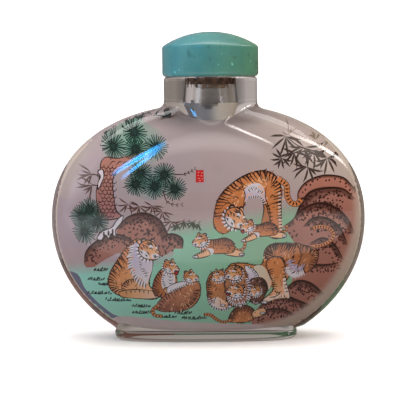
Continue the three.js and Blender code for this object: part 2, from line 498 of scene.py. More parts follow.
class Painting:
    """Flat shapes in the order they are brushed, in millimetres across and up the wall."""

    def __init__(self, seed):
        self.shapes = []
        self.random = np.random.default_rng(seed)

    def fill(self, outline, colour, alpha=1.0, to=None, to_alpha=None, start=None, end=None):
        """An area of one colour, or one that changes to another from start to end."""
        to = colour if to is None else to
        to_alpha = alpha if to_alpha is None else to_alpha
        ramp = None if start is None else (np.array(start, float), np.asarray(end, float))
        outline = None if outline is None else np.asarray(outline, float)
        self.shapes.append((outline, np.array(colour, float), np.array(to, float), alpha, to_alpha, ramp))

    def area(self, points, colour, edge=0.0, hair=0.0, **ramp):
        """A smooth closed area, with an edge of short brush strokes and hairs where they are given."""
        outline = curve(points, True, 4)
        self.fill(outline, colour, **ramp)
        if edge:
            loop = np.vstack([outline, outline[:4]])
            for first in range(0, len(outline), 6):
                part = loop[first:first + 9]
                if len(part) > 2:
                    self.line(part + self.jitter(0.05, 2), 1.3 * edge * self.random.uniform(0.7, 1.2), INK)
        if hair:
            after = np.roll(outline, -1, 0)
            turn = np.sign((outline[:, 0] * after[:, 1] - after[:, 0] * outline[:, 1]).sum())
            length = np.hypot(*(after - outline).T).sum()
            loop = np.vstack([points, points[:1]])
            for place, way in zip(*along_line(loop, int(length / 0.62))):
                out = turn * np.array([way[1], -way[0]])
                lie = (way * self.random.choice([-0.8, 0.8]) + out * self.random.uniform(0.1, 0.7)) * hair
                start = place - out * self.random.uniform(0.0, 0.5)
                self.line([start, start + lie * 0.5, start + lie], 0.22, INK)

    def line(self, path, width, colour, taper="both"):
        """A brush line: thin at both ends, thick at its start or even."""
        p = np.asarray(path, float)
        along = np.gradient(p, axis=0)
        along /= np.maximum(np.hypot(along[:, 0], along[:, 1]), 1e-9)[:, None]
        side = np.stack([-along[:, 1], along[:, 0]], 1)
        t = np.linspace(0, 1, len(p))
        swell = {"both": 0.12 + 0.88 * np.sin(math.pi * t) ** 0.7,
                 "start": 0.1 + 0.9 * (1 - t) ** 0.8,
                 "even": np.ones_like(t)}[taper]
        half = (width / 2 * swell)[:, None]
        first = 1 if taper == "both" else 0
        last = len(p) if taper == "even" else len(p) - 1
        one = (p + side * half)[first:last]
        other = (p - side * half)[first:last][::-1]
        self.fill(np.vstack([p[:first], one, p[last:], other]), colour)

    def brush(self, points, width, colour, taper="both", steps=4):
        """A brush line that runs smoothly through the given points."""
        self.line(curve(points, steps=steps), width, colour, taper)

    def jitter(self, spread, size=None):
        return self.random.uniform(-spread, spread, size)

    def drop_hidden(self):
        """Leaves out each small shape that a later, larger and opaque one covers."""
        sizes = [np.ptp(shape[0], 0).prod() for shape in self.shapes[1:]]
        kept = np.ones(len(sizes), bool)
        points = np.vstack([shape[0] for shape in self.shapes[1:]])
        ends = np.cumsum([len(shape[0]) for shape in self.shapes[1:]])
        starts = np.concatenate([[0], ends[:-1]])
        for number, shape in enumerate(self.shapes[1:]):
            if number and sizes[number] > 3 and min(shape[3], shape[4]) >= 1:
                inside = covers(shape[0], points[:starts[number]])
                held = np.minimum.reduceat(inside, starts[:number])
                kept[:number] &= ~held
        self.shapes = self.shapes[:1] + [shape for shape, keep in zip(self.shapes[1:], kept) if keep]

    @staticmethod
    def coat(shape, places, under):
        """The colours at some places once this shape is laid over what is under it."""
        _, colour, to, alpha, to_alpha, ramp = shape
        t = np.zeros(places.shape[:-1])
        if ramp is not None:
            start, end = ramp
            if end.ndim == 0:
                t = np.hypot(*np.moveaxis(places - start, -1, 0)) / end
            else:
                t = (places - start) @ (end - start) / ((end - start) @ (end - start))
            t = np.clip(t, 0, 1)
        t = t[..., None]
        cover = np.clip(alpha + (to_alpha - alpha) * t, 0, 1)
        return under + (colour + (to - colour) * t - under) * cover


def oval_points(x, z, half_width, half_height, count=8):
    """Points round an oval."""
    a = np.arange(count) * 2 * math.pi / count
    return np.stack([x + half_width * np.cos(a), z + half_height * np.sin(a)], 1)


def set_down(points, at, size, tilt, flip):
    """Points drawn about the origin, put at a place on the wall."""
    p = np.asarray(points, float) * (flip, 1)
    c = math.cos(tilt)
    s = math.sin(tilt)
    return np.asarray(at) + size * p @ np.array([[c, s], [-s, c]])


def along_line(points, count, span=(0, 1)):
    """Evenly spread places on a smooth line and the line's direction at each."""
    p = curve(points, steps=12)
    run = np.concatenate([[0], np.cumsum(np.hypot(*np.diff(p, axis=0).T))])
    t = np.linspace(span[0], span[1], count) * run[-1]
    places = np.stack([np.interp(t, run, p[:, 0]), np.interp(t, run, p[:, 1])], 1)
    ahead = np.stack([np.interp(t + 0.05, run, p[:, 0]), np.interp(t + 0.05, run, p[:, 1])], 1)
    behind = np.stack([np.interp(t - 0.05, run, p[:, 0]), np.interp(t - 0.05, run, p[:, 1])], 1)
    way = ahead - behind
    return places, way / np.maximum(np.hypot(way[:, 0], way[:, 1]), 1e-9)[:, None]


def covers(outline, places):
    """Which places lie inside a closed outline."""
    a = outline
    b = np.roll(outline, -1, 0)
    x = places[:, :1]
    z = places[:, 1:]
    rising = (a[:, 1] <= z) & (b[:, 1] > z)
    falling = (a[:, 1] > z) & (b[:, 1] <= z)
    left = (b[:, 0] - a[:, 0]) * (z - a[:, 1]) - (x - a[:, 0]) * (b[:, 1] - a[:, 1])
    return (rising & (left > 0)).sum(1) != (falling & (left < 0)).sum(1)


def mottle(picture, points, count, length, angle, colours, width=0.2):
    """Short strokes of several colours strewn over an area, lying more or less one way."""
    outline = curve(points, True, 4)
    places = picture.random.uniform(outline.min(0), outline.max(0), (4 * count, 2))
    for place in places[covers(outline, places)][:count]:
        a = math.radians(angle + picture.jitter(35))
        lie = np.array([math.cos(a), math.sin(a)]) * length * picture.random.uniform(0.6, 1.3)
        bow = np.array([-lie[1], lie[0]]) * picture.jitter(0.15)
        colour = colours[picture.random.integers(len(colours))]
        picture.line([place, place + lie * 0.5 + bow, place + lie], width * picture.random.uniform(0.7, 1.4),
                     colour)


def stripes(picture, back, length, count, side, lean, width):
    """Dark stripes that start on a line along the back and run down the flank."""
    for place, way in zip(*along_line(back, count, (0.03, 0.97))):
        down = side * np.array([-way[1], way[0]])
        reach = length * (0.55 + 0.45 * picture.random.random())
        sway = picture.jitter(0.12)
        picture.brush([place, place + down * reach * 0.45 + way * reach * (lean * 0.3 + sway),
                       place + down * reach + way * reach * lean],
                      1.3 * width * picture.random.uniform(0.7, 1.15), INK, taper="start", steps=3)


def hatch(picture, line, count, length, side, colour, width, band):
    """Short hair strokes along a line and to one side of it."""
    for place, way in zip(*along_line(line, count, (0.02, 0.98))):
        out = side * np.array([-way[1], way[0]])
        start = place + out * picture.random.random() * band
        lie = way * picture.random.uniform(0.5, 1.0) + out * picture.jitter(0.5)
        picture.line([start, start + lie * length * 0.5, start + lie * length], 1.3 * width, colour)


def tufts(picture, line, count, length, side, lean, width, light=WHITE):
    """Pale locks of fur with a dark hair beside each."""
    for place, way in zip(*along_line(line, count, (0.02, 0.98))):
        out = side * np.array([-way[1], way[0]]) + way * lean + picture.jitter(0.25, 2)
        reach = length * picture.random.uniform(0.7, 1.15)
        beside = way * width * 0.45
        picture.line([place - out * 0.35 * reach, place + out * 0.3 * reach, place + out * reach], width,
                     light)
        picture.line([place + beside - out * 0.2 * reach, place + beside + out * 0.4 * reach,
                      place + beside + out * reach], 0.25, SOOT)


def tail(picture, points, width, rings):
    """A ringed tail along a smooth line."""
    path = curve(points, steps=5)
    picture.line(path, width + 0.24, INK, taper="even")
    picture.line(path, width, FUR, taper="even")
    for place, way in zip(*along_line(points, rings, (0.1, 0.98))):
        across = np.array([-way[1], way[0]]) * width * 0.55
        picture.line([place - across, place + way * 0.1, place + across], 0.4, INK)


def paw(picture, at, size, flip=1):
    """A pale paw with two toe lines."""
    def put(points):
        return set_down(points, at, size, 0, flip)
    picture.area(put([(-0.9, -0.4), (0.2, -0.55), (0.95, -0.4), (1.0, 0.1), (0.5, 0.45), (-0.7, 0.4)]),
                 WHITE, 0.16)
    for x in (0.15, 0.55):
        picture.line(put([(x, -0.5), (x + 0.08, -0.2), (x + 0.02, 0.1)]), 0.14, INK)


def tiger_head(picture, at, size, tilt, flip=1, mouth=0.0):
    """A tiger's head seen half from the side, looking to the right unless it is flipped."""
    def put(points):
        return set_down(points, at, size, tilt, flip)

    fine = 0.095 * size
    for x, z, wide in ((-0.52, 0.8, 0.3), (0.28, 0.94, 0.25)):
        picture.area(put(oval_points(x, z, wide, 0.31)), SOOT)
        picture.area(put(oval_points(x + 0.04, z - 0.05, wide * 0.62, 0.19)), FUR_PALE)
    angles = np.radians(np.linspace(134, 306, 19))
    reach = np.where(np.arange(19) % 2, 1.24, 0.96)
    picture.fill(put(np.stack([reach * np.cos(angles) + 0.04, reach * np.sin(angles)], 1)), WHITE)
    for a in (140, 158, 177, 196, 215, 234, 253, 272, 291):
        d = np.array([math.cos(math.radians(a)), math.sin(math.radians(a))])
        picture.line(put([d * 0.84, d * 1.04 + (0.03, 0.03), d * 1.26]), 1.5 * fine, INK, taper="start")
    picture.area(put([(-0.88, 0.1), (-0.72, 0.62), (-0.2, 0.95), (0.38, 0.88), (0.72, 0.54), (0.98, 0.24),
                      (1.22, -0.04), (1.24, -0.4), (0.95, -0.7), (0.42, -0.82), (-0.22, -0.76),
                      (-0.7, -0.42)]), FUR, fine, to=FUR_PALE, start=put([(-0.8, 0.4)])[0],
                 end=put([(1.1, -0.3)])[0])
    picture.area(put([(-0.72, -0.16), (-0.3, -0.08), (0.1, -0.34), (0.3, -0.74), (-0.22, -0.74),
                      (-0.62, -0.44)]), WHITE)
    picture.area(put([(0.54, -0.26), (0.86, -0.16), (1.14, -0.24), (1.2, -0.44), (0.94, -0.66), (0.56, -0.64),
                      (0.4, -0.46)]), WHITE)
    picture.area(put(oval_points(0.28, 0.44, 0.24, 0.14)), WHITE)
    picture.area(put(oval_points(0.78, 0.4, 0.11, 0.1)), WHITE)
    picture.line(put([(0.04, 0.2), (0.3, 0.27), (0.56, 0.08)]), 0.17 * size, SOOT)
    picture.line(put([(0.74, 0.22), (0.86, 0.22), (0.98, 0.08)]), 0.13 * size, SOOT)
    picture.fill(put(oval_points(0.33, 0.19, 0.055, 0.05, 6)), (200, 176, 96))
    picture.line(put([(0.62, 0.2), (0.78, 0.0), (1.06, -0.06)]), fine, INK)
    picture.area(put(oval_points(1.14, -0.1, 0.16, 0.11)), (122, 66, 60))
    if mouth:
        picture.area(put([(0.66, -0.5), (0.98, -0.46), (1.16, -0.42), (1.08, -0.6 - mouth),
                          (0.84, -0.7 - mouth), (0.66, -0.6 - mouth / 2)]), (168, 40, 40), fine)
    picture.line(put([(1.18, -0.3), (1.0, -0.44), (0.82, -0.46), (0.56, -0.38)]), 1.3 * fine, INK)
    for run in ([(-0.34, 0.86), (0.02, 0.7), (0.34, 0.8)], [(-0.4, 0.66), (0.0, 0.56), (0.44, 0.66)],
                [(0.1, 0.94), (0.24, 0.7), (0.5, 0.42)], [(-0.68, 0.52), (-0.42, 0.34), (-0.3, 0.06)],
                [(-0.86, 0.22), (-0.58, 0.1), (-0.46, -0.16)], [(-0.36, 0.46), (-0.1, 0.28), (-0.06, 0.02)],
                [(-0.78, -0.2), (-0.52, -0.28), (-0.4, -0.5)], [(-0.14, -0.12), (0.12, -0.26), (0.28, -0.46)],
                [(-0.2, -0.4), (0.02, -0.52), (0.1, -0.68)], [(0.66, -0.34), (0.8, -0.32), (0.9, -0.34)],
                [(0.7, -0.56), (0.84, -0.54), (0.96, -0.58)]):
        picture.line(put(run), 1.7 * fine, INK)


def adult_seated(picture):
    """A tiger at rest with its back to the left and a pale mane."""
    back = [(-16.4, 25.2), (-19.0, 23.4), (-21.2, 20.4), (-23.2, 17.0), (-23.5, 14.2), (-21.8, 12.0)]
    picture.area(back + [(-18.0, 11.4), (-14.6, 11.3), (-11.8, 11.6), (-11.9, 12.9), (-13.9, 14.2),
                         (-13.4, 17.4), (-13.0, 20.4), (-13.6, 23.4)], FUR, 0.22, hair=0.7, to=FUR_PALE,
                 start=(-23, 17), end=(-14, 13))
    mottle(picture, back + [(-17.0, 12.6), (-16.6, 18.0)], 70, 1.1, 250, (FUR_DEEP, FUR_PALE, INK, FUR_DEEP),
           0.2)
    stripes(picture, back, 2.9, 22, side=1, lean=0.35, width=0.36)
    picture.area([(-16.8, 24.4), (-18.2, 22.6), (-17.6, 21.0), (-18.4, 19.2), (-17.2, 18.0), (-17.4, 16.2),
                  (-15.8, 16.0), (-14.6, 14.6), (-13.8, 16.4), (-13.2, 18.2), (-13.2, 20.4), (-14.4, 22.4)],
                 WHITE, to=LILAC, start=(-14, 17), end=(-18.0, 21.6))
    tufts(picture, [(-17.4, 23.8), (-18.0, 21.0), (-17.8, 18.4), (-16.6, 16.2), (-14.8, 14.8)], 17, 1.3, -1,
          0.5, 0.6)
    tufts(picture, [(-16.2, 21.6), (-16.2, 18.8), (-15.0, 16.6)], 9, 1.0, 1, 0.5, 0.45)
    picture.brush([(-17.0, 15.8), (-19.0, 15.4), (-20.4, 13.8), (-19.8, 12.4)], 0.26, INK)
    stripes(picture, [(-17.6, 15.7), (-19.4, 15.0), (-20.2, 13.4)], 1.4, 7, side=1, lean=0.1, width=0.3)
    picture.area([(-21.0, 12.6), (-17.6, 13.2), (-14.2, 13.0), (-11.6, 12.6), (-11.2, 11.6), (-14.0, 11.0),
                  (-18.0, 11.1), (-20.6, 11.4)], (200, 140, 88), 0.2, to=(222, 186, 160), start=(-20, 12),
                 end=(-12, 12))
    stripes(picture, [(-19.6, 12.7), (-16.6, 13.0), (-14.0, 12.8)], 0.9, 6, side=-1, lean=0.1, width=0.28)
    paw(picture, (-11.9, 12.0), 0.8)
    tiger_head(picture, (-14.2, 22.6), 2.45, -0.2)


def cub_sitting(picture, at, size, flip, mouth):
    """A cub sitting up with a pale chest, facing right unless it is flipped."""
    def put(points):
        return set_down(points, at, size, 0, flip)
    back = [(-0.6, 1.9), (-1.5, 0.9), (-1.9, -0.3), (-1.7, -1.3), (-0.9, -1.7)]
    picture.area(put(back + [(0.4, -1.8), (1.1, -1.6), (1.0, -0.6), (1.15, 0.6), (0.7, 1.6)]), FUR, 0.2,
                 hair=0.6, to=FUR_DEEP, start=put([(0.5, 0)])[0], end=put([(-1.7, -0.5)])[0])
    stripes(picture, put(back), 1.0 * size, 12, side=flip, lean=0.3, width=0.3)
    picture.area(put([(-0.4, 1.5), (-0.8, 0.3), (-0.5, -0.7), (0.5, -0.8), (0.9, 0.3), (0.7, 1.3)]), WHITE)
    tufts(picture, put([(-0.6, 1.3), (-0.7, 0.2), (-0.3, -0.7)]), 8, 0.4 * size, flip, 0.4, 0.34)
    for z in (1.0, 0.6, 0.2, -0.2, -0.6):
        picture.line(put([(0.0, z), (0.3, z - 0.16), (0.7, z - 0.02)]), 0.24, SOOT)
    picture.area(put([(-0.5, -0.6), (-0.2, -1.3), (0.4, -1.9), (1.2, -1.9), (1.2, -1.4), (0.6, -1.0),
                      (0.3, -0.4)]), FUR_PALE, 0.18)
    stripes(picture, put([(-0.4, -0.7), (0.0, -1.3), (0.5, -1.7)]), 0.4 * size, 5, side=flip, lean=0.1,
            width=0.24)
    paw(picture, put([(1.05, -1.75)])[0], 0.4 * size, flip)
    tiger_head(picture, put([(0.3, 2.1)])[0], 0.92 * size, -0.05 * flip, flip, mouth)


def cub_crouching(picture, at, size, flip, tilt, mouth=0.0):
    """A cub lying low with its forelegs stretched out, facing right unless it is flipped."""
    def put(points):
        return set_down(points, at, size, tilt, flip)
    tail(picture, put([(-2.4, -0.2), (-3.2, -0.7), (-3.9, -0.4), (-4.1, 0.4)]), 0.3 * size, 6)
    picture.area(put([(-2.2, -0.5), (-3.3, -0.7), (-3.9, -1.1), (-3.6, -1.5), (-2.4, -1.4), (-1.2, -1.0)]),
                 FUR_PALE, 0.18)
    paw(picture, put([(-3.5, -1.25)])[0], 0.32 * size, -flip)
    back = [(1.5, 1.1), (0.6, 0.95), (-0.4, 1.0), (-1.5, 1.1), (-2.4, 0.6), (-2.7, -0.2)]
    picture.area(put(back + [(-2.3, -0.9), (-1.0, -0.95), (0.4, -0.9), (1.4, -0.8), (1.9, 0.0)]), FUR, 0.2,
                 hair=0.6, to=FUR_DEEP, start=put([(0, -0.6)])[0], end=put([(-0.4, 1.1)])[0])
    hatch(picture, put([(1.2, 0.5), (-0.4, 0.4), (-2.0, 0.2)]), 22, 0.42 * size, flip, (120, 68, 44), 0.2,
          0.7 * size)
    stripes(picture, put(back), 0.95 * size, 16, side=flip, lean=-0.15, width=0.34)
    picture.brush(put([(-1.0, 0.2), (-1.7, 0.1), (-2.0, -0.4), (-1.7, -0.8)]), 0.24, INK)
    picture.area(put([(0.2, -0.3), (1.0, -0.2), (1.5, -0.6), (1.3, -1.1), (0.3, -1.0)]), WHITE)
    picture.area(put([(1.0, -0.3), (1.8, -0.6), (2.7, -1.0), (2.7, -1.4), (1.6, -1.35), (0.6, -1.0)]),
                 FUR_PALE, 0.18)
    stripes(picture, put([(1.2, -0.4), (1.8, -0.65), (2.4, -0.9)]), 0.35 * size, 5, side=-flip, lean=0.1,
            width=0.26)
    paw(picture, put([(2.6, -1.2)])[0], 0.34 * size, flip)
    tiger_head(picture, put([(1.7, 0.85)])[0], 0.98 * size, tilt, flip, mouth)


def cub_curled(picture):
    """A cub lying with its round back to the front."""
    picture.area([(-12.6, 8.6), (-11.2, 11.0), (-8.8, 12.8), (-6.4, 14.6), (-4.2, 15.6), (-2.4, 15.0),
                  (-1.9, 13.0), (-2.6, 10.6), (-4.6, 8.6), (-7.4, 7.9), (-10.6, 7.8)], (176, 112, 74), 0.2,
                 hair=0.7, to=(162, 104, 84), start=(-4, 14), end=(-10, 8))
    middle = np.array([-7.0, 12.6])
    for place, way in zip(*along_line([(-12.3, 8.7), (-10.4, 8.0), (-7.4, 8.1), (-4.8, 8.9), (-2.9, 10.9),
                                       (-2.3, 13.2)], 44)):
        inward = (middle - place) * picture.random.uniform(0.28, 0.62)
        picture.line([place, place + inward * 0.5 + way * 0.12, place + inward], 0.2, FUR_DARK, taper="start")
    mottle(picture, [(-11.0, 8.6), (-9.0, 12.0), (-4.6, 14.4), (-2.8, 12.6), (-4.8, 9.2), (-8.0, 8.4)], 60,
           1.1, 300, (FUR_DEEP, FUR_PALE, FUR_DARK), 0.2)
    stripes(picture, [(-2.2, 13.0), (-3.0, 10.8), (-4.8, 9.0)], 1.7, 8, side=-1, lean=0.2, width=0.3)
    stripes(picture, [(-12.2, 9.0), (-10.8, 11.0), (-8.6, 12.7), (-6.2, 14.3)], 1.4, 11, side=-1, lean=-0.2,
            width=0.28)
    picture.area([(-9.6, 12.4), (-7.6, 13.2), (-5.4, 14.2), (-5.4, 15.2), (-7.6, 14.9), (-9.6, 13.8)], WHITE,
                 0.16)
    tufts(picture, [(-9.2, 13.0), (-7.4, 13.8), (-5.6, 14.6)], 8, 0.7, -1, 0.2, 0.36)
    tail(picture, [(-11.9, 9.4), (-13.2, 8.2), (-12.8, 6.9), (-11.0, 6.6)], 0.7, 7)
    tiger_head(picture, (-4.4, 16.2), 1.6, 0.12, 1)


def adult_standing(picture):
    """A tiger with an arched back that bends its head down."""
    picture.area([(12.4, 36), (12.9, 32), (12.2, 28.4), (12.0, 26.2), (14.0, 26.0), (14.6, 29), (14.8, 34)],
                 (176, 112, 70), 0.2)
    back = [(1.2, 29.6), (2.0, 33.6), (4.4, 37.0), (8.2, 39.6), (12.4, 40.9), (15.6, 39.8), (17.0, 36.8),
            (16.9, 32.8)]
    picture.area([(1.6, 27.6)] + back + [(17.0, 29.2), (17.4, 25.8), (15.0, 25.2), (14.4, 29.0), (13.4, 33.0),
                                         (11.6, 35.4), (9.4, 35.2), (8.2, 32.6), (6.6, 29.4), (5.0, 27.0),
                                         (3.2, 26.4)], FUR, 0.24, hair=0.7, to=(190, 112, 60),
                 start=(9, 40), end=(5, 27))
    picture.area([(16.3, 36.0), (16.9, 35.4), (16.9, 31.0), (17.3, 27.4), (16.5, 27.2), (16.3, 31.0)],
                 (210, 178, 156))
    picture.area([(8.6, 36.8), (10.6, 38.0), (12.6, 37.4), (13.4, 34.0), (11.8, 35.0), (9.8, 35.0),
                  (8.6, 33.6)], WHITE, to=LILAC, start=(10, 37.5), end=(10, 34))
    mottle(picture, back + [(14.6, 32.0), (14.4, 36.4), (10.4, 38.2), (6.6, 34.8), (4.4, 30.4)], 90, 1.2, 40,
           (FUR_DEEP, FUR_PALE, INK, FUR_DEEP), 0.2)
    hatch(picture, [(3.6, 29.6), (5.4, 33.2), (8.4, 37.6), (13.0, 39.0), (15.0, 35.0)], 34, 1.3, -1, FUR_PALE,
          0.3, 2.4)
    stripes(picture, back, 3.0, 32, side=-1, lean=0.3, width=0.36)
    stripes(picture, [(16.9, 33), (17.0, 30), (17.3, 26.6)], 1.6, 9, side=-1, lean=0.1, width=0.3)
    stripes(picture, [(13.6, 33.0), (14.4, 29.6), (14.9, 26.4)], 1.1, 8, side=1, lean=0.1, width=0.28)
    picture.brush([(13.6, 37.6), (13.3, 34.8), (14.2, 32.0), (14.5, 29.6)], 0.24, INK)
    picture.brush([(7.6, 38.0), (8.6, 35.4), (8.0, 33.0)], 0.24, INK)
    for x, z, d in ((4.6, 33.4, 0.9), (6.4, 34.7, 0.8), (3.8, 31.4, 0.9), (6.6, 32.4, 0.7), (15.0, 35.0, 0.7),
                    (15.2, 37.2, 0.8), (7.2, 36.6, 0.8), (4.0, 29.4, 0.7)):
        picture.brush([(x - d, z - 0.4), (x, z + 0.2), (x + d, z - 0.2)], 0.26, INK)
    tufts(picture, [(9.0, 36.6), (10.6, 37.2), (12.6, 36.2)], 10, 1.0, -1, 0.2, 0.42)
    tufts(picture, [(13.4, 33.4), (12.0, 35.0), (9.6, 35.0)], 9, 0.8, 1, 0.2, 0.36)
    paw(picture, (15.8, 25.6), 1.0, -1)
    tail(picture, [(16.2, 39.0), (18.2, 37.4), (18.4, 35.0), (19.2, 33.4), (20.6, 33.0), (21.8, 34.2)], 1.15,
         12)
    tiger_head(picture, (6.0, 30.0), 2.6, -0.38, 1)


def adult_resting(picture):
    """A tiger lying on the rocks that turns its head down to its cubs."""
    tail(picture, [(23.8, 22.9), (26.6, 23.2), (28.6, 24.2), (29.2, 25.8), (27.8, 27.2), (25.6, 27.5),
                   (24.2, 27.0)], 0.8, 18)
    haunch = [(19.6, 23.6), (22.6, 23.2), (25.0, 22.4), (25.7, 20.8), (25.0, 18.6), (23.4, 17.0),
              (21.4, 17.2), (19.4, 19.0)]
    picture.area(haunch, (178, 112, 70), 0.2, hair=0.7, to=(150, 94, 66), start=(20, 22), end=(25, 18))
    mottle(picture, haunch, 46, 1.2, 250, (INK, FUR_DEEP, FUR_PALE, FUR))
    stripes(picture, [(20.6, 23.5), (23.6, 22.9), (25.5, 21.0), (24.6, 18.2)], 1.8, 14, side=-1, lean=0.1,
            width=0.3)
    body = [(4.8, 19.0), (8.0, 19.5), (11.0, 18.9), (12.6, 19.4), (13.0, 22.2), (14.4, 23.7), (17.2, 24.0),
            (20.6, 23.5), (21.6, 20.6), (20.4, 18.4), (17.4, 14.4), (13.6, 13.6), (9.6, 14.2), (5.4, 15.4)]
    picture.area(body, FUR, 0.2, hair=0.8, to=(182, 110, 66), start=(10, 15), end=(18, 24))
    picture.area([(10.6, 18.6), (12.4, 18.8), (13.6, 17.4), (14.6, 14.6), (13.8, 13.0), (12.0, 14.6),
                  (11.0, 16.4)], (202, 192, 170), to=(214, 186, 160), start=(11, 19), end=(14, 14))
    picture.area([(8.4, 18.8), (10.2, 18.2), (11.6, 16.4), (11.0, 14.8), (9.8, 14.2), (9.2, 16.0)], WHITE,
                 0.2, to=LILAC, start=(9, 18), end=(11, 14.5))
    tufts(picture, [(9.0, 18.4), (10.2, 17.2), (10.8, 15.4), (10.2, 14.4)], 12, 0.8, 1, -0.2, 0.4)
    mottle(picture, [(13.2, 19.2), (13.4, 22.0), (14.8, 23.4), (20.2, 23.0), (20.8, 20.4), (18.6, 18.4)], 90,
           1.4, 235, (INK, FUR_DEEP, FUR_PALE, FUR_DEEP), 0.22)
    stripes(picture, [(13.0, 20.4), (13.4, 22.6), (14.6, 23.7), (17.2, 24.0), (20.6, 23.5)], 2.6, 24, side=-1,
            lean=-0.25, width=0.34)
    picture.brush([(13.2, 21.4), (15.2, 20.9), (17.2, 20.5), (18.2, 18.4)], 0.24, INK)
    mottle(picture, [(5.0, 18.8), (8.4, 19.2), (9.6, 17.8), (9.0, 15.6), (5.6, 15.8)], 40, 1.0, 200,
           (INK, FUR_DEEP, FUR_PALE, SOOT), 0.22)
    leg = [(13.4, 19.2), (14.6, 20.7), (17.0, 20.4), (18.0, 18.0), (18.1, 14.8), (18.9, 11.0), (15.6, 10.6),
           (12.6, 9.6), (12.2, 10.2), (13.8, 11.6), (14.9, 12.6), (15.0, 14.4), (14.0, 16.8)]
    picture.area(leg, FUR, 0.2, hair=0.5, to=(226, 184, 150), start=(15.4, 16), end=(17.6, 11))
    picture.area([(17.9, 16.0), (18.2, 14.2), (18.9, 11.1), (18.3, 10.9), (17.5, 13.0), (17.4, 15.4)],
                 (224, 204, 192))
    picture.area([(12.4, 9.6), (15.6, 10.6), (18.6, 11.0), (18.0, 11.8), (15.2, 11.6), (13.4, 11.0)],
                 (224, 198, 178))
    stripes(picture, [(13.8, 17.6), (14.6, 15.4), (15.0, 13.0)], 1.5, 10, side=1, lean=0.05, width=0.28)
    stripes(picture, [(17.8, 18.6), (18.0, 15.6), (18.6, 12.2)], 1.1, 8, side=-1, lean=0.05, width=0.26)
    mottle(picture, leg, 30, 1.1, 260, (FUR_DEEP, FUR_PALE, INK), 0.18)
    for run in ([(15.2, 12.6), (16.2, 12.2), (17.2, 12.5)], [(14.0, 11.0), (15.4, 11.2), (16.8, 11.9)]):
        picture.brush(run, 0.24, INK)
    paw(picture, (13.0, 9.9), 0.7, -1)
    tufts(picture, [(18.0, 18.2), (18.6, 16.6), (20.2, 15.8), (22.4, 16.6)], 20, 1.7, 1, 0.3, 0.45)
    tufts(picture, [(18.4, 19.6), (19.6, 17.8), (21.8, 17.4)], 14, 1.5, 1, 0.3, 0.42, LILAC)


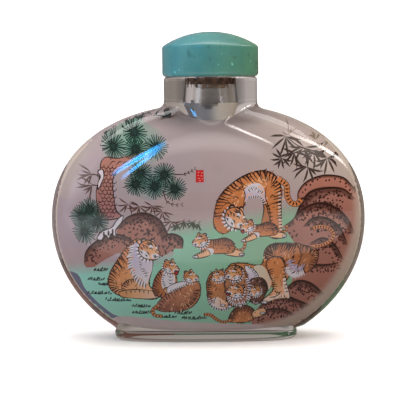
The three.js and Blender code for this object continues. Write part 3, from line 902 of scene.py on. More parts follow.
def cub_group(picture):
    """Cubs huddled in the grass about the old one's head."""
    dark = [(9.6, 15.4), (8.9, 13.6), (9.3, 11.2), (10.4, 9.6), (12.0, 9.8), (13.0, 11.4), (13.8, 13.2),
            (13.2, 15.0), (11.8, 16.0)]
    picture.area(dark, (116, 72, 54), 0.2, hair=0.8, to=(88, 54, 44), start=(9, 16), end=(13, 10))
    mottle(picture, dark, 60, 1.0, 240, (SOOT, INK, FUR_DEEP, LILAC, SOOT), 0.24)
    stripes(picture, [(13.6, 12.2), (13.6, 14.2), (12.4, 15.8)], 1.6, 9, side=1, lean=0.1, width=0.34)
    low = [(4.8, 5.2), (5.0, 7.0), (6.4, 8.8), (8.6, 9.3), (10.4, 8.2), (10.8, 6.4), (9.6, 5.0), (7.2, 4.6)]
    picture.area(low, (194, 122, 74), 0.2, hair=0.8, to=FUR_DEEP, start=(8, 5.6), end=(7, 9.2))
    for place, way in zip(*along_line([(4.8, 5.2), (5.2, 7.2), (6.6, 8.8), (8.7, 9.2), (10.4, 8.1),
                                       (10.7, 6.4)], 34)):
        inward = (np.array([8.0, 5.2]) - place) * picture.random.uniform(0.25, 0.55)
        picture.line([place, place + inward * 0.5 + way * 0.1, place + inward], 0.26, INK, taper="start")
    mottle(picture, low, 30, 0.8, 290, (FUR_DEEP, FUR_PALE, INK), 0.18)
    tail(picture, [(5.2, 5.6), (3.6, 5.0), (2.0, 5.6), (0.4, 6.9), (-1.2, 7.1)], 0.65, 11)
    picture.area([(10.2, 7.4), (12.0, 8.4), (13.4, 8.2), (13.2, 7.0), (11.6, 6.2), (10.4, 6.2)], FUR_PALE,
                 0.18, hair=0.4)
    paw(picture, (12.6, 7.2), 0.6)
    left = [(0.6, 17.2), (-0.5, 15.0), (-0.4, 12.0), (0.2, 9.6), (1.8, 8.5), (3.8, 8.3), (5.0, 9.2),
            (5.6, 11.4), (5.2, 14.0), (4.6, 16.4), (3.0, 17.8)]
    picture.area(left, FUR, 0.2, hair=0.8, to=(160, 104, 72), start=(1, 16), end=(5, 9))
    picture.area([(0.4, 10.4), (1.2, 8.9), (3.6, 8.5), (4.8, 9.6), (3.4, 10.6), (1.8, 11.4)], WHITE,
                 to=FUR_PALE, start=(1, 9), end=(4.4, 10.4))
    mottle(picture, left, 70, 1.0, 80, (INK, FUR_DEEP, FUR_PALE, FUR_DEEP), 0.2)
    stripes(picture, [(0.9, 17.4), (-0.3, 15.0), (-0.3, 12.0), (0.4, 9.8)], 1.7, 17, side=1, lean=0.2,
            width=0.3)
    tufts(picture, [(0.0, 11.2), (0.8, 9.4), (2.6, 8.6), (4.4, 8.8)], 11, 0.8, -1, 0.2, 0.4)
    middle = [(3.6, 16.8), (4.4, 18.4), (6.4, 19.0), (8.2, 17.8), (8.9, 15.0), (9.4, 12.0), (8.6, 9.8),
              (6.6, 9.0), (4.6, 9.6), (4.0, 12.0)]
    picture.area(middle, (176, 112, 72), 0.2, hair=0.8, to=(150, 100, 78), start=(5, 18), end=(8, 10))
    mottle(picture, middle, 80, 0.9, 260, (INK, FUR_DEEP, WHITE, LILAC, SOOT), 0.22)
    tufts(picture, [(8.6, 15.8), (9.2, 13.4), (8.8, 10.8)], 10, 0.9, 1, 0.3, 0.4)
    tufts(picture, [(4.4, 12.0), (5.2, 10.4), (7.0, 9.6), (8.4, 10.2)], 12, 0.9, -1, 0.2, 0.4)
    tiger_head(picture, (2.4, 16.4), 1.5, 0.15, -1)
    tiger_head(picture, (11.0, 12.6), 1.35, 0.1, -1)
    tiger_head(picture, (6.2, 16.8), 1.8, -0.15, -1)
    tiger_head(picture, (6.5, 12.6), 1.9, -0.3, -1, 0.1)
    for x, z in ((3.2, 9.4), (4.8, 9.0), (7.4, 9.2)):
        paw(picture, (x, z), 0.55, -1)


def needles(picture, x, z, size=2.6):
    """A round head of pine needles seen from the front."""
    picture.fill(oval_points(x, z, size * 1.02, size * 0.98, 16), PINE, 0.8, to_alpha=0.1, start=(x, z),
                 end=size)
    picture.fill(oval_points(x, z, size * 0.26, size * 0.25, 10), NEEDLE, 0.85)
    count = 30
    turn = picture.random.random()
    for k in range(count):
        a = 2 * math.pi * (k + turn + picture.jitter(0.25)) / count
        d = np.array([math.cos(a), math.sin(a)])
        reach = size * picture.random.uniform(0.9, 1.14)
        picture.line([(x, z) + d * size * 0.2, (x, z) + d * reach * 1.04], 0.2, NEEDLE, taper="even")


def leaf(picture, at, angle, length, colour, width):
    """One narrow leaf that bows a little."""
    d = np.array([math.cos(angle), math.sin(angle)])
    n = np.array([-d[1], d[0]])
    bow = picture.jitter(0.12) * length
    picture.line([at, at + d * length * 0.35 + n * bow, at + d * length * 0.72 + n * bow,
                  at + d * length * 1.08], 1.15 * width, colour)


def spray(picture, at, count, spread, length, middle, colour, width):
    """Narrow leaves that fan out from one knot."""
    for k in range(count):
        angle = math.radians(middle + spread * ((k + 0.5) / count - 0.5) + picture.jitter(6))
        leaf(picture, np.asarray(at, float), angle, length * picture.random.uniform(0.7, 1.1), colour, width)


def boulder(picture, crest, foot, colour=STONE, to=STONE_DEEP, weight=0.5, grain=60, depth=2.0):
    """A rock under a brushed crest, with a dark stippled band that thins out below the crest."""
    ridge = curve(crest, steps=6)
    low = np.asarray(foot, float)[:, 1].min()
    high = ridge[:, 1].max()
    picture.fill(np.vstack([ridge, foot]), colour, to=to, start=(0, high), end=(0, low))
    count = 32
    places, ways = along_line(crest, count, (0.02, 0.98))
    down = np.stack([ways[:, 1], -ways[:, 0]], 1)
    swell = np.sin(np.linspace(0.06, math.pi - 0.06, count)) ** 0.6
    for share, cover in ((0.8, 0.25), (0.5, 0.4)):
        rough = picture.random.uniform(0.7, 1.25, count)
        below = places + down * (0.15 + swell * depth * share * rough)[:, None]
        picture.fill(np.vstack([places + down * 0.15, below[::-1]]), STONE_INK, cover)
    picture.line(ridge, weight, STONE_INK)
    for place, way in zip(*along_line(crest, int(1.3 * grain), (0.03, 0.97))):
        down = np.array([way[1], -way[0]])
        away = 0.2 + picture.random.random() ** 1.5 * 1.5 * depth
        start = place + down * away + way * picture.jitter(0.5)
        slant = down * picture.random.uniform(0.5, 1.0) + way * picture.jitter(0.5)
        picture.line([start, start + slant * 0.35, start + slant * 0.75], 0.5, STONE_INK)


def grass_row(picture, x, z, length, count):
    """Short blades side by side, with one stroke along their foot."""
    for k in range(count):
        at = np.array([x + length * (k + picture.jitter(0.3)) / count, z + picture.jitter(0.16)])
        tip = at + (picture.random.uniform(0.1, 0.5), picture.random.uniform(0.4, 0.85))
        picture.line([at - (0.1, 0.12), (at + tip) / 2 + (0.05, 0), tip], 0.38, GRASS)
    picture.line([(x, z), (x + length * 0.5, z - 0.06), (x + length, z + 0.05)], 0.3, GRASS)


def twig(picture, points, width=0.3):
    """A thin branch with short forked ends."""
    picture.brush(points, width, BAMBOO, taper="start")
    for place, way in zip(*along_line(points, 4, (0.4, 0.95))):
        for turn in (0.7, -0.7):
            c = math.cos(turn)
            s = math.sin(turn)
            d = np.array([way[0] * c - way[1] * s, way[0] * s + way[1] * c])
            picture.line([place, place + d * 0.4, place + d * 0.8], 0.24, BAMBOO)


def pine_tree(picture):
    """A scaly trunk that bends to the right, with round heads of needles."""
    picture.fill(oval_points(-17.2, 46.8, 8.4, 4.6, 24), (84, 150, 122), 0.75, to_alpha=0.0,
                 start=(-17.2, 46.8), end=8.2)
    picture.fill(oval_points(-13.2, 38.4, 5.6, 4.2, 20), (70, 124, 124), 0.6, to_alpha=0.0,
                 start=(-13.2, 38.4), end=5.6)
    picture.area([(-25.4, 29.6), (-25.8, 32.6), (-26.1, 36.0), (-25.2, 39.4), (-24.9, 42.6), (-23.6, 43.9),
                  (-20.4, 43.8), (-15.6, 45.4), (-15.0, 44.6), (-18.6, 42.4), (-21.4, 40.6), (-22.2, 38.0),
                  (-21.9, 34.6), (-21.4, 31.8), (-20.2, 30.2)], BARK, 0.24, to=(156, 106, 104),
                 start=(-21, 43), end=(-23, 29))
    for row, z in enumerate(np.arange(30.6, 42.6, 0.86)):
        for x in np.array((-25.1, -24.1, -23.1, -22.3)) + 0.5 * (row % 2):
            at = np.array([x + picture.jitter(0.12), z + picture.jitter(0.12)])
            picture.line(at + [(-0.5, 0.5), (-0.38, -0.1), (0.0, -0.36), (0.38, -0.1), (0.5, 0.5)], 0.24, INK)
    for x in (-23.0, -21.4, -20.0, -18.6):
        picture.brush([(x, 42.2 + picture.jitter(0.2)), (x + 0.8, 43.0), (x + 1.6, 43.0)], 0.22, INK)
    picture.area([(-25.6, 36.6), (-24.8, 38.2), (-24.2, 39.8), (-24.5, 41.2), (-25.6, 40.6), (-25.0, 39.6),
                  (-25.6, 38.2)], WHITE, 0.2)
    picture.area([(-26.0, 25.2), (-24.8, 27.0), (-22.6, 27.8), (-21.4, 29.4), (-19.8, 30.7), (-20.2, 29.0),
                  (-21.6, 27.2), (-21.6, 25.6), (-22.6, 26.4), (-23.2, 25.2), (-24.0, 26.0), (-25.0, 24.8)],
                 WHITE, 0.26)
    for x, z in ((-24.4, 26.2), (-23.3, 26.5), (-22.3, 26.9)):
        picture.fill(oval_points(x, z, 0.24, 0.7), INK, 0.9)
    for x, z in ((-16.8, 45.9), (-21.9, 46.3), (-16.9, 49.4), (-12.0, 46.3), (-15.6, 40.4), (-16.8, 37.9),
                 (-12.4, 37.4), (-10.1, 40.1), (-7.7, 36.8), (-25.8, 29.0), (-27.6, 31.9), (-29.6, 30.2),
                 (-28.9, 26.6)):
        needles(picture, x, z)
    picture.fill([(-34, 34), (-6, 34), (-6, 56), (-34, 56)], (172, 158, 154), -24.0, to_alpha=1.5,
                 start=(-8.5, 28.6), end=25.6)


def front_ground(picture):
    """Rosy ground that fades to a green meadow, with painted shade that darkens it towards the top of the
    wall.
    """
    # Cooler on the left and lighter and warmer on the right: partly the ground's own tone and partly painted
    # light from the cool lamp on the left and the warm one on the right
    picture.fill(None, (168, 152, 157), to=(178, 162, 154), start=(-34, 30), end=(30, 34))
    # Painted shade: a grey wash that darkens the ground towards the top of the wall
    picture.fill([(-30, 45), (30, 45), (30, 54), (-30, 54)], (120, 108, 102), 0.0, to_alpha=0.3,
                 start=(0, 45.5), end=(0, 51.5))
    picture.area([(-40, 2), (40, 2), (40, 14), (24, 34), (17, 33), (2, 33), (-7, 32), (-10, 25), (-14, 20.5),
                  (-24, 19.6), (-40, 19)], (146, 206, 188), to=(130, 174, 140), start=(-30, 10), end=(12, 24))
    picture.fill([(-12, 26), (24, 26), (24, 36), (-12, 36)], (174, 154, 152), 0.0, to_alpha=1.0,
                 start=(4, 27.2), end=(3.4, 30.8))
    picture.fill(curve([(-40, 16.5), (-24, 17.0), (-14, 18.0), (-8, 22), (-14, 24), (-24, 23), (-40, 22)],
                       True), (172, 152, 154), 0.0, to_alpha=1.0, start=(-24, 17.0), end=(-24.5, 20.4))


def right_rocks(picture):
    """Rocks in steps up the right side, fading to the bare wall at its edge."""
    boulder(picture, [(20.9, 33.0), (21.0, 35.8), (23.2, 38.2), (27.0, 39.3), (31.0, 38.6), (33.0, 36.6),
                      (34.2, 34.0)], [(40, 33), (40, 20), (22, 26)], (174, 114, 96), weight=0.35, grain=14,
            depth=0.5)
    boulder(picture, [(17.4, 27.8), (20.0, 29.6), (21.6, 32.8), (23.8, 35.6), (27.6, 36.4), (31.6, 35.8),
                      (34.2, 33.0)], [(40, 32), (40, 18), (20, 24)], depth=2.4, grain=80, weight=0.6)
    boulder(picture, [(19.8, 29.4), (22.2, 31.8), (25.8, 33.0), (29.6, 31.8), (32.6, 28.8), (34.0, 25.0)],
            [(40, 24), (40, 12), (22, 22)], grain=80, weight=0.6, depth=2.3)
    boulder(picture, [(22.0, 27.6), (24.6, 29.6), (28.0, 29.2), (30.8, 26.8), (32.6, 22.6)],
            [(40, 20), (40, 8), (22, 20)], grain=60, weight=0.6, depth=2.0)
    boulder(picture, [(23.4, 23.6), (26.8, 24.8), (29.6, 22.9), (31.6, 19.2)], [(40, 17), (40, 4), (22, 14)],
            grain=40, weight=0.5, depth=1.5)
    boulder(picture, [(20.0, 18.0), (23.6, 18.6), (27.4, 18.4), (30.6, 18.8)], [(40, 18), (40, 4), (19, 12)],
            grain=30, weight=0.5, depth=0.9)
    boulder(picture, [(17.0, 12.4), (20.6, 14.8), (24.0, 14.0), (27.0, 11.2), (29.0, 9.8)],
            [(30, 2), (16, 2)], grain=54, weight=0.6, depth=1.9)
    boulder(picture, [(11.4, 8.6), (14.6, 10.6), (18.2, 11.0), (21.8, 9.6), (25.6, 8.0)], [(26, 2), (11, 2)],
            grain=54, weight=0.6, depth=1.6)
    boulder(picture, [(10.0, 6.0), (13.6, 8.0), (17.4, 7.9), (20.8, 6.2)], [(21, 2), (10, 2)], grain=36,
            weight=0.5, depth=1.4)
    picture.fill([(2, 2), (40, 2), (40, 42), (30, 42), (22, 24), (14, 12), (2, 6)], (186, 170, 158), -18.8,
                 to_alpha=1.26, start=(6.5, 31.0), end=28.6)


def left_rocks(picture):
    """Rocks under the pine."""
    boulder(picture, [(-21.4, 27.4), (-18.8, 30.2), (-15.0, 31.2), (-11.4, 29.6), (-9.4, 26.2), (-7.2, 23.4)],
            [(-10, 21.5), (-16, 20), (-21, 22)], grain=80, weight=0.6, depth=2.8)
    boulder(picture, [(-11.2, 25.0), (-8.8, 26.4), (-6.2, 25.4), (-6.0, 23.0)], [(-7.4, 23.0), (-9.6, 24.0)],
            grain=24, weight=0.5, depth=1.4)
    boulder(picture, [(-29.2, 19.0), (-28.6, 22.0), (-26.0, 24.6), (-22.4, 26.2), (-19.0, 25.6),
                      (-16.4, 23.8)], [(-18, 22.4), (-21.4, 21.8), (-24.6, 20.0), (-26.8, 18.4),
                                       (-28.6, 18.2)], grain=54, weight=0.5, depth=1.8)


def left_trees(picture):
    """A pine with leaves about its trunk and on the rocks under it."""
    for at, middle in (((-27.0, 40.0), 200), ((-27.0, 37.6), 205)):
        spray(picture, at, 6, 120, 3.6, middle, (92, 72, 64), 0.36)
        twig(picture, [at, (at[0] + 1.5, at[1] - 0.2), (at[0] + 2.4, at[1] - 0.8)])
    pine_tree(picture)
    for x, z in ((-18.6, 33.4), (-16.0, 32.8), (-13.0, 33.0), (-10.6, 31.6), (-8.6, 29.4)):
        spray(picture, (x, z), 7, 230, 2.8, 250, (84, 54, 46), 0.32)
    twig(picture, [(-10.4, 36.4), (-9.6, 34.0), (-7.8, 33.2), (-6.0, 33.2)])
    twig(picture, [(-7.6, 40.2), (-5.6, 40.2), (-4.0, 40.8), (-2.9, 41.4)])
    for x, z in ((-7.4, 28.6), (-5.4, 29.2), (-3.6, 29.2), (-2.4, 28.8)):
        spray(picture, (x, z), 5, 120, 1.8, 255, (56, 66, 50), 0.34)
    twig(picture, [(-8.6, 29.0), (-5.5, 29.4), (-2.0, 29.0)], 0.22)


def right_bamboo(picture):
    """Bamboo above the rocks on the right."""
    for stem in ([(18.2, 48.3), (21.0, 46.2), (24.5, 44.8), (27.8, 43.0)], [(22.4, 45.6), (22.9, 43.4),
                                                                            (23.2, 41.2)], [(17.2, 43.6),
                                                                                            (20.0, 44.6),
                                                                                            (22.4, 45.6)]):
        picture.brush(stem, 0.3, BAMBOO)
    for x, z, n, spread, length, middle in (
            (18.2, 48.3, 6, 190, 4.4, 262), (17.2, 43.6, 8, 260, 3.4, 235), (20.0, 44.8, 7, 210, 3.6, 250),
            (22.4, 45.8, 8, 250, 4.2, 258), (24.6, 44.4, 7, 230, 3.6, 270), (23.2, 41.4, 7, 220, 3.8, 255),
            (27.8, 43.0, 9, 240, 3.8, 265)):
        spray(picture, (x, z), n, spread, length, middle, BAMBOO, 0.44)
    for x, z in ((18.6, 48.6), (24.9, 46.8), (27.0, 45.2), (29.0, 45.0)):
        spray(picture, (x, z), 4, 170, 1.9, 80, (126, 110, 96), 0.26)


def red_seal(picture):
    """A small red block with short pale strokes."""
    picture.fill([(-2.85, 38.3), (-0.95, 38.35), (-1.0, 41.2), (-2.8, 41.15)], RED)
    for x, z, length in ((-2.45, 40.6, 0.5), (-1.6, 40.5, 0.4), (-2.4, 39.9, 0.35), (-1.75, 39.8, 0.5),
                         (-2.4, 39.2, 0.55), (-1.5, 39.1, 0.3), (-2.1, 38.7, 0.5)):
        picture.line([(x, z), (x + length / 2, z + 0.06), (x + length, z)], 0.2, (226, 170, 160))


def front_grass(picture):
    """Rows of grass, the bare wall below them, and a painted dark patch at the lower left for the dim room
    seen through the glass edge.
    """
    for x, z, length, count in ((-27.0, 17.6, 3.4, 9), (-28.4, 15.3, 4.0, 10), (-26.0, 14.2, 3.0, 8),
                                (-28.6, 12.0, 5.6, 14), (-24.4, 10.4, 6.4, 16), (-18.0, 9.0, 4.4, 11),
                                (-18.2, 7.4, 4.6, 12), (-12.0, 6.4, 4.4, 11), (-8.0, 7.3, 4.0, 10),
                                (-6.6, 6.0, 6.2, 15), (-15.2, 10.9, 3.4, 8)):
        grass_row(picture, x, z, length, count)
    # Painted shade: a dark purple patch at the lower left that stands in for the dim room seen through the
    # clear glass edge
    picture.fill(curve([(-31.4, 17.0), (-28.9, 13.2), (-26.0, 9.9), (-22.8, 7.2), (-20.4, 5.6), (-26, 2),
                        (-38, 4), (-38, 16)], True), (84, 78, 112), 0.85)
    picture.fill(curve([(-22.6, 6.2), (-19.0, 6.5), (-14.0, 6.0), (-8.0, 5.3), (0.0, 4.8), (8.0, 4.2),
                        (13.0, 3.4), (8, 0), (-20, 0), (-25, 4)], True), (190, 174, 172), 0.95)


def tigers(picture):
    """Three old tigers and their cubs, in the order they are brushed."""
    adult_seated(picture)
    cub_sitting(picture, (-9.6, 14.6), 1.9, 1, 0.3)
    cub_curled(picture)
    adult_standing(picture)
    cub_crouching(picture, (12.0, 27.0), 1.55, -1, 0.1, 0.25)
    cub_crouching(picture, (1.4, 23.4), 1.75, -1, 0.05)
    adult_resting(picture)
    cub_group(picture)


def paint_front():
    """Tigers with cubs between a pine and rocks."""
    picture = Painting(7)
    for step in (front_ground, right_rocks, left_rocks, left_trees, right_bamboo, red_seal, front_grass,
                 tigers):
        step(picture)
    return picture


def paint_back():
    """A plainer picture: rocks, bamboo and grass."""
    picture = Painting(11)
    # Cooler on the left and lighter and warmer on the right: partly the ground's own tone and partly painted
    # light from the cool lamp on the left and the warm one on the right
    picture.fill(None, (168, 152, 158), to=(178, 164, 152), start=(-34, 30), end=(30, 34))
    picture.area([(-40, 0), (40, 0), (40, 17), (26, 18.4), (10, 16.6), (-6, 18.6), (-24, 17.2), (-40, 18)],
                 (104, 162, 138), to=(120, 160, 126), start=(-30, 10), end=(16, 18))
    boulder(picture, [(-30.5, 15.0), (-27.4, 20.6), (-22.6, 23.0), (-17.0, 20.8), (-12.6, 14.6)],
            [(-14, 9), (-29, 10)], depth=2.4)
    boulder(picture, [(-24.6, 10.6), (-20.4, 14.6), (-15.0, 15.4), (-10.2, 12.2), (-7.4, 8.2)],
            [(-8, 5), (-23, 5.5)])
    boulder(picture, [(14.6, 8.4), (18.2, 12.4), (22.6, 13.2), (26.6, 10.6)], [(24, 5), (15, 5)])
    for stem in ([(-17.4, 20.8), (-15.8, 29.0), (-15.2, 36.4), (-13.2, 44.6)], [(-14.6, 17.4), (-11.2, 25.0),
                                                                                (-9.4, 33.6)]):
        picture.brush(stem, 0.8, (88, 112, 84))
        for place, way in zip(*along_line(stem, 6, (0.12, 0.9))):
            across = np.array([-way[1], way[0]]) * 0.55
            picture.line([place - across, place, place + across], 0.22, BAMBOO)
    for x, z, middle in ((-13.6, 44.0, 320), (-14.6, 40.0, 215), (-15.0, 36.4, 300), (-15.6, 31.0, 225),
                         (-9.6, 33.2, 300), (-10.4, 28.4, 320), (-18.6, 43.0, 240), (-7.4, 38.6, 300),
                         (-20.4, 36.0, 235)):
        spray(picture, (x, z), 8, 200, 4.0, middle, BAMBOO, 0.46)
        twig(picture, [(x + 2.0, z - 0.6), (x + 1.0, z - 0.1), (x, z)], 0.22)
    for x, z, length, count in ((-2.0, 14.6, 5.0, 11), (4.6, 12.2, 5.4, 12), (-4.0, 10.6, 4.6, 11),
                                (9.6, 15.0, 4.4, 10), (1.0, 8.0, 6.4, 15), (24.0, 15.4, 4.2, 10),
                                (16.6, 6.2, 4.6, 11), (-28.6, 12.4, 4.0, 9)):
        grass_row(picture, x, z, length, count)
    for side in (-1, 1):
        picture.fill([(side * 14, 2), (side * 40, 2), (side * 40, 46), (side * 24, 46), (side * 20, 24),
                      (side * 14, 8)], (198, 186, 174), -6.0, to_alpha=1.2, start=(side * 8.5, 28.6),
                     end=26.1)
    return picture


def wall_outline():
    """The painted wall's edge, seen from the front: down the left, round the floor and up the right."""
    turn = np.linspace(0, 1, 90)
    high = WIDEST_Z + (CEILING_Z - WIDEST_Z) * np.cos(turn * math.pi / 2) ** (2 / SHOULDER_POWER)
    low = WIDEST_Z - (WIDEST_Z - FLOOR_Z - FLOOR_ROUND) * np.sin(turn * math.pi / 2)
    floor = FLOOR_Z + FLOOR_ROUND * (1 - np.sin(turn * math.pi / 2))
    z = np.concatenate([high[1:], low[1:], floor[1:-1]])
    half = hollow_half_width(z)
    middle = hollow_middle(z)
    left = np.stack([middle - half, 0 * z, z], 1)
    right = np.stack([middle + half, 0 * z, z], 1)
    return np.vstack([left, [(0, 0, FLOOR_Z)], right[::-1]])


def keep_on_wall(outline):
    """Draws an outline back to just inside the wall's edge where it lies past it."""
    inside = reach_on_wall(outline)
    if np.abs(inside - outline).max() < 1e-9:
        return outline
    after = np.roll(outline, -1, 0)
    run = []
    for a, b in zip(outline, after):
        count = max(int(np.hypot(*(b - a)) / EDGE_STEP), 1)
        run.extend(a + (b - a) * k / count for k in range(count))
    return reach_on_wall(np.array(run))


def reach_on_wall(places, most=EDGE_SHARE):
    """Places moved to the nearest part of the wall that may be brushed."""
    z = np.clip(places[:, 1], FLOOR_Z + WALL_MARGIN, CEILING_Z - WALL_MARGIN)
    half = hollow_half_width(z)
    middle = hollow_middle(z)
    reach = np.clip((places[:, 0] - middle) / half, -most, most)
    return np.stack([middle + half * reach, z], 1)


def wall_grid(spacing):
    """Places spread over the wall so that broad colours and the wall's curve have points to follow."""
    places = []
    edge = np.array([0.925, 0.95, 0.97, 0.985, 0.995])
    for z in np.arange(FLOOR_Z + 0.4, CEILING_Z - 0.2, spacing):
        steps = max(int(2 * float(hollow_half_width(z)) / spacing), 6)
        across = np.concatenate([-edge[::-1], np.linspace(-0.9, 0.9, steps), edge])
        places.append(np.stack([hollow_middle(z) + hollow_half_width(z) * across, 0 * across + z], 1))
    return np.vstack(places)


def srgb_to_linear(colour):
    """A colour from 0 to 255 as the light values that shaders use."""
    c = np.clip(np.asarray(colour, float) / 255, 0, 1)
    return np.where(c <= 0.04045, c / 12.92, ((c + 0.055) / 1.055) ** 2.4)


def brushed_colours(picture, outlines, corners):
    """The colour of each triangle's corners once every shape is laid down in its order."""
    middles = reach_on_wall(corners.mean(1), EDGE_SHARE - EDGE_SLACK)
    colours = Painting.coat(picture.shapes[0], corners, np.zeros(corners.shape[:2] + (3,)))
    for shape, outline in zip(picture.shapes[1:], outlines):
        low = outline.min(0)
        high = outline.max(0)
        near = np.flatnonzero(((middles > low) & (middles < high)).all(1))
        rows = near[covers(outline, middles[near])]
        colours[rows] = Painting.coat(shape, corners[rows], colours[rows])
    return colours


def painted_wall(skin, picture, border, facing, spacing):
    """Cuts one side of the inner wall along the picture's shapes and returns its corners' colours."""
    rim = skin.places(border)
    picture.drop_hidden()
    outlines = [keep_on_wall(shape[0]) for shape in picture.shapes[1:]]
    edges = []
    count = len(rim)
    for outline in outlines:
        numbers = np.arange(count, count + len(outline))
        edges.extend(zip(numbers.tolist(), np.roll(numbers, -1).tolist()))
        count += len(outline)
    places = np.vstack([rim[:, (0, 2)]] + outlines + [wall_grid(spacing)])
    spots, _, faces, sources, _, _ = geometry.delaunay_2d_cdt(
        [Vector(p) for p in places], edges, [list(range(len(rim)))], 1, 1e-5, True)
    spots = np.array([tuple(v) for v in spots])
    faces = np.array(faces)
    solid = np.stack([spots[:, 0], facing * wall_depth(spots[:, 0], spots[:, 1]), spots[:, 1]], 1)
    points = skin.add_points(solid)
    for spot, source in enumerate(sources):
        on_rim = [i for i in source if i < len(rim)]
        if on_rim:
            points[spot] = border[on_rim[0]]
    colours = brushed_colours(picture, outlines, spots[faces])
    if facing < 0:
        faces = faces[:, ::-1]
        colours = colours[:, ::-1]
    skin.add_faces(points[faces], PAINT_SLOT)
    return srgb_to_linear(colours).reshape(-1, 3)


def bore_tints(across):
    """The ground's colour at the foot of the bore, with painted shade on the left and painted light making it
    paler to the right.
    """
    share = ease((across - NECK_X + 1.0) / 3.0)[:, None]
    return srgb_to_linear(np.array(BORE_SHADED_GROUND) * (1 - share) + np.array(BORE_LIT_GROUND) * share)


def cork_tints(count, step):
    """Mottled brown left by the cork on the top of the bore."""
    spots = wavy(count, step + 20, 26)[:, None]
    return srgb_to_linear(np.array(CORK_STAIN) * (1 + 0.5 * spots))


def wavy(count, seed, waves):
    """A smooth up and down between -1 and 1 round a ring of corners."""
    dice = np.random.default_rng(seed)
    turn = np.arange(count) * 2 * math.pi / count
    sizes = dice.uniform(0.5, 1.0, 5)
    parts = [size * np.sin(turn * dice.integers(waves // 3, waves) + dice.uniform(0, 6.3)) for size in sizes]
    return np.sum(parts, 0) / sizes.sum()


def bottle_mesh():
    """The whole bottle: outside, bore and both sides of the painted wall, as one closed mesh."""
    skin = Skin()
    loops = [skin.add_points(loop) for loop in glass_rings()]
    skin.fan(loops[0], (FOOT_X, 0, 0), GLASS_SLOT)
    colours = [np.ones((len(skin.faces) * 3, 3))]
    stain_edge = BORE_STEPS - CORK_STEPS - STAIN_SWAY * wavy(COLUMNS, 3, 24)
    paint_edge = BORE_PAINTED + PAINT_SWAY * wavy(COLUMNS, 4, 9)
    for number, (lower, upper) in enumerate(zip(loops[:-1], loops[1:])):
        steps_left = len(loops) - 2 - number
        in_bore = steps_left < BORE_STEPS
        stained = in_bore & (steps_left >= stain_edge)
        painted = in_bore & (steps_left < paint_edge)
        skin.bridge(lower, upper, np.where(stained | painted, PAINT_SLOT, GLASS_SLOT))
        tint = np.where(stained[:, None], cork_tints(COLUMNS, steps_left),
                        bore_tints(skin.places(lower)[:, 0]))
        after = np.roll(tint, -1, 0)
        colours.append(np.stack([tint, after, after, tint], 1).reshape(-1, 3))
    bore_end = loops[-1]
    half = COLUMNS // 2
    outline = skin.add_points(wall_outline())
    front_border = np.concatenate([outline, bore_end[:1], bore_end[:half - 1:-1]])
    back_border = np.concatenate([outline, bore_end[:half + 1]])
    colours.append(painted_wall(skin, paint_front(), front_border, -1, FRONT_GRID))
    colours.append(painted_wall(skin, paint_back(), back_border, 1, BACK_GRID))
    return skin.mesh("bottle", np.concatenate(colours))


# Materials

class Wire:
    """A node's output whose arithmetic adds Math nodes to its tree."""

    def __init__(self, tree, socket):
        self.tree = tree
        self.socket = socket

    def math(self, operation, *operands, clamp=False):
        node = self.tree.add("ShaderNodeMath", {"operation": operation, "use_clamp": clamp},
                             dict(enumerate(operands)))
        return self.tree.wire(node)

    def __add__(self, other):
        return self.math("ADD", self, other)

    def __sub__(self, other):
        return self.math("SUBTRACT", self, other)

    def __rsub__(self, other):
        return self.math("SUBTRACT", other, self)

    def __mul__(self, other):
        return self.math("MULTIPLY", self, other)

    def __truediv__(self, other):
        return self.math("DIVIDE", self, other)

    def __rtruediv__(self, other):
        return self.math("DIVIDE", other, self)

    __radd__ = __add__
    __rmul__ = __mul__

    def sine(self):
        return self.math("SINE", self)

    def cosine(self):
        return self.math("COSINE", self)

    def arcsine(self):
        return self.math("ARCSINE", self)

    def between(self, low, high):
        """0 below low, 1 above high and straight between them."""
        return self.math("DIVIDE", self - low, high - low, clamp=True)


class Tree:
    """A node tree that nodes are added to by type, settings and sockets."""

    def __init__(self, tree):
        self.tree = tree

    def add(self, kind, settings=None, sockets=None):
        node = self.tree.nodes.new(kind)
        for name, value in (settings or {}).items():
            if name == "stops":
                self.set_stops(node.color_ramp, value)
            else:
                setattr(node, name, value)
        for key, value in (sockets or {}).items():
            if isinstance(value, Wire):
                self.tree.links.new(value.socket, node.inputs[key])
            else:
                node.inputs[key].default_value = value
        return node

    @staticmethod
    def set_stops(ramp, stops):
        while len(ramp.elements) < len(stops):
            ramp.elements.new(1.0)
        for element, (place, colour) in zip(ramp.elements, stops):
            element.position = place
            element.color = (*colour, 1)

    def wire(self, node, output=0):
        return Wire(self, node.outputs[output])

    def join(self, wire, node, name):
        self.tree.links.new(wire.socket, node.inputs[name])

    def out(self, *args, output=0, **kwargs):
        return self.wire(self.add(*args, **kwargs), output)


def new_material(name, **values):
    """A material with one Principled shader and plain values on it."""
    material = bpy.data.materials.new(name)
    material.use_nodes = True
    shader = material.node_tree.nodes["Principled BSDF"]
    for key, value in values.items():
        shader.inputs[key.replace("_", " ")].default_value = value
    return material, Tree(material.node_tree), shader


def clear_glass(look):
    """Polished see-through glass."""
    material, _, _ = new_material(
        "clear glass", Base_Color=(*look.glass, 1), Roughness=look.glass_roughness, IOR=look.glass_ior,
        Transmission_Weight=1.0)
    return material


def painted_ground(look):
    """Water colours on the frosted inner wall, a little uneven as brushed colours are."""
    material, tree, shader = new_material("painted wall", Roughness=0.9, Specular_IOR_Level=0.0)
    paint = tree.out("ShaderNodeAttribute", {"attribute_name": "paint"})
    place = tree.out("ShaderNodeTexCoord", output="Object")
    cloud = tree.out("ShaderNodeTexNoise", sockets={"Vector": place, "Scale": 260.0, "Detail": 3.0})
    shade = look.paint_strength * (1 + (cloud - 0.5) * look.unevenness)
    tone = tree.out("ShaderNodeCombineXYZ", sockets={0: shade, 1: shade, 2: shade})
    mixed = tree.out("ShaderNodeMix", {"data_type": "RGBA", "blend_type": "MULTIPLY"},
                     {"Factor": 1.0, 6: paint, 7: tone}, output=2)
    tree.join(mixed, shader, "Base Color")
    return material


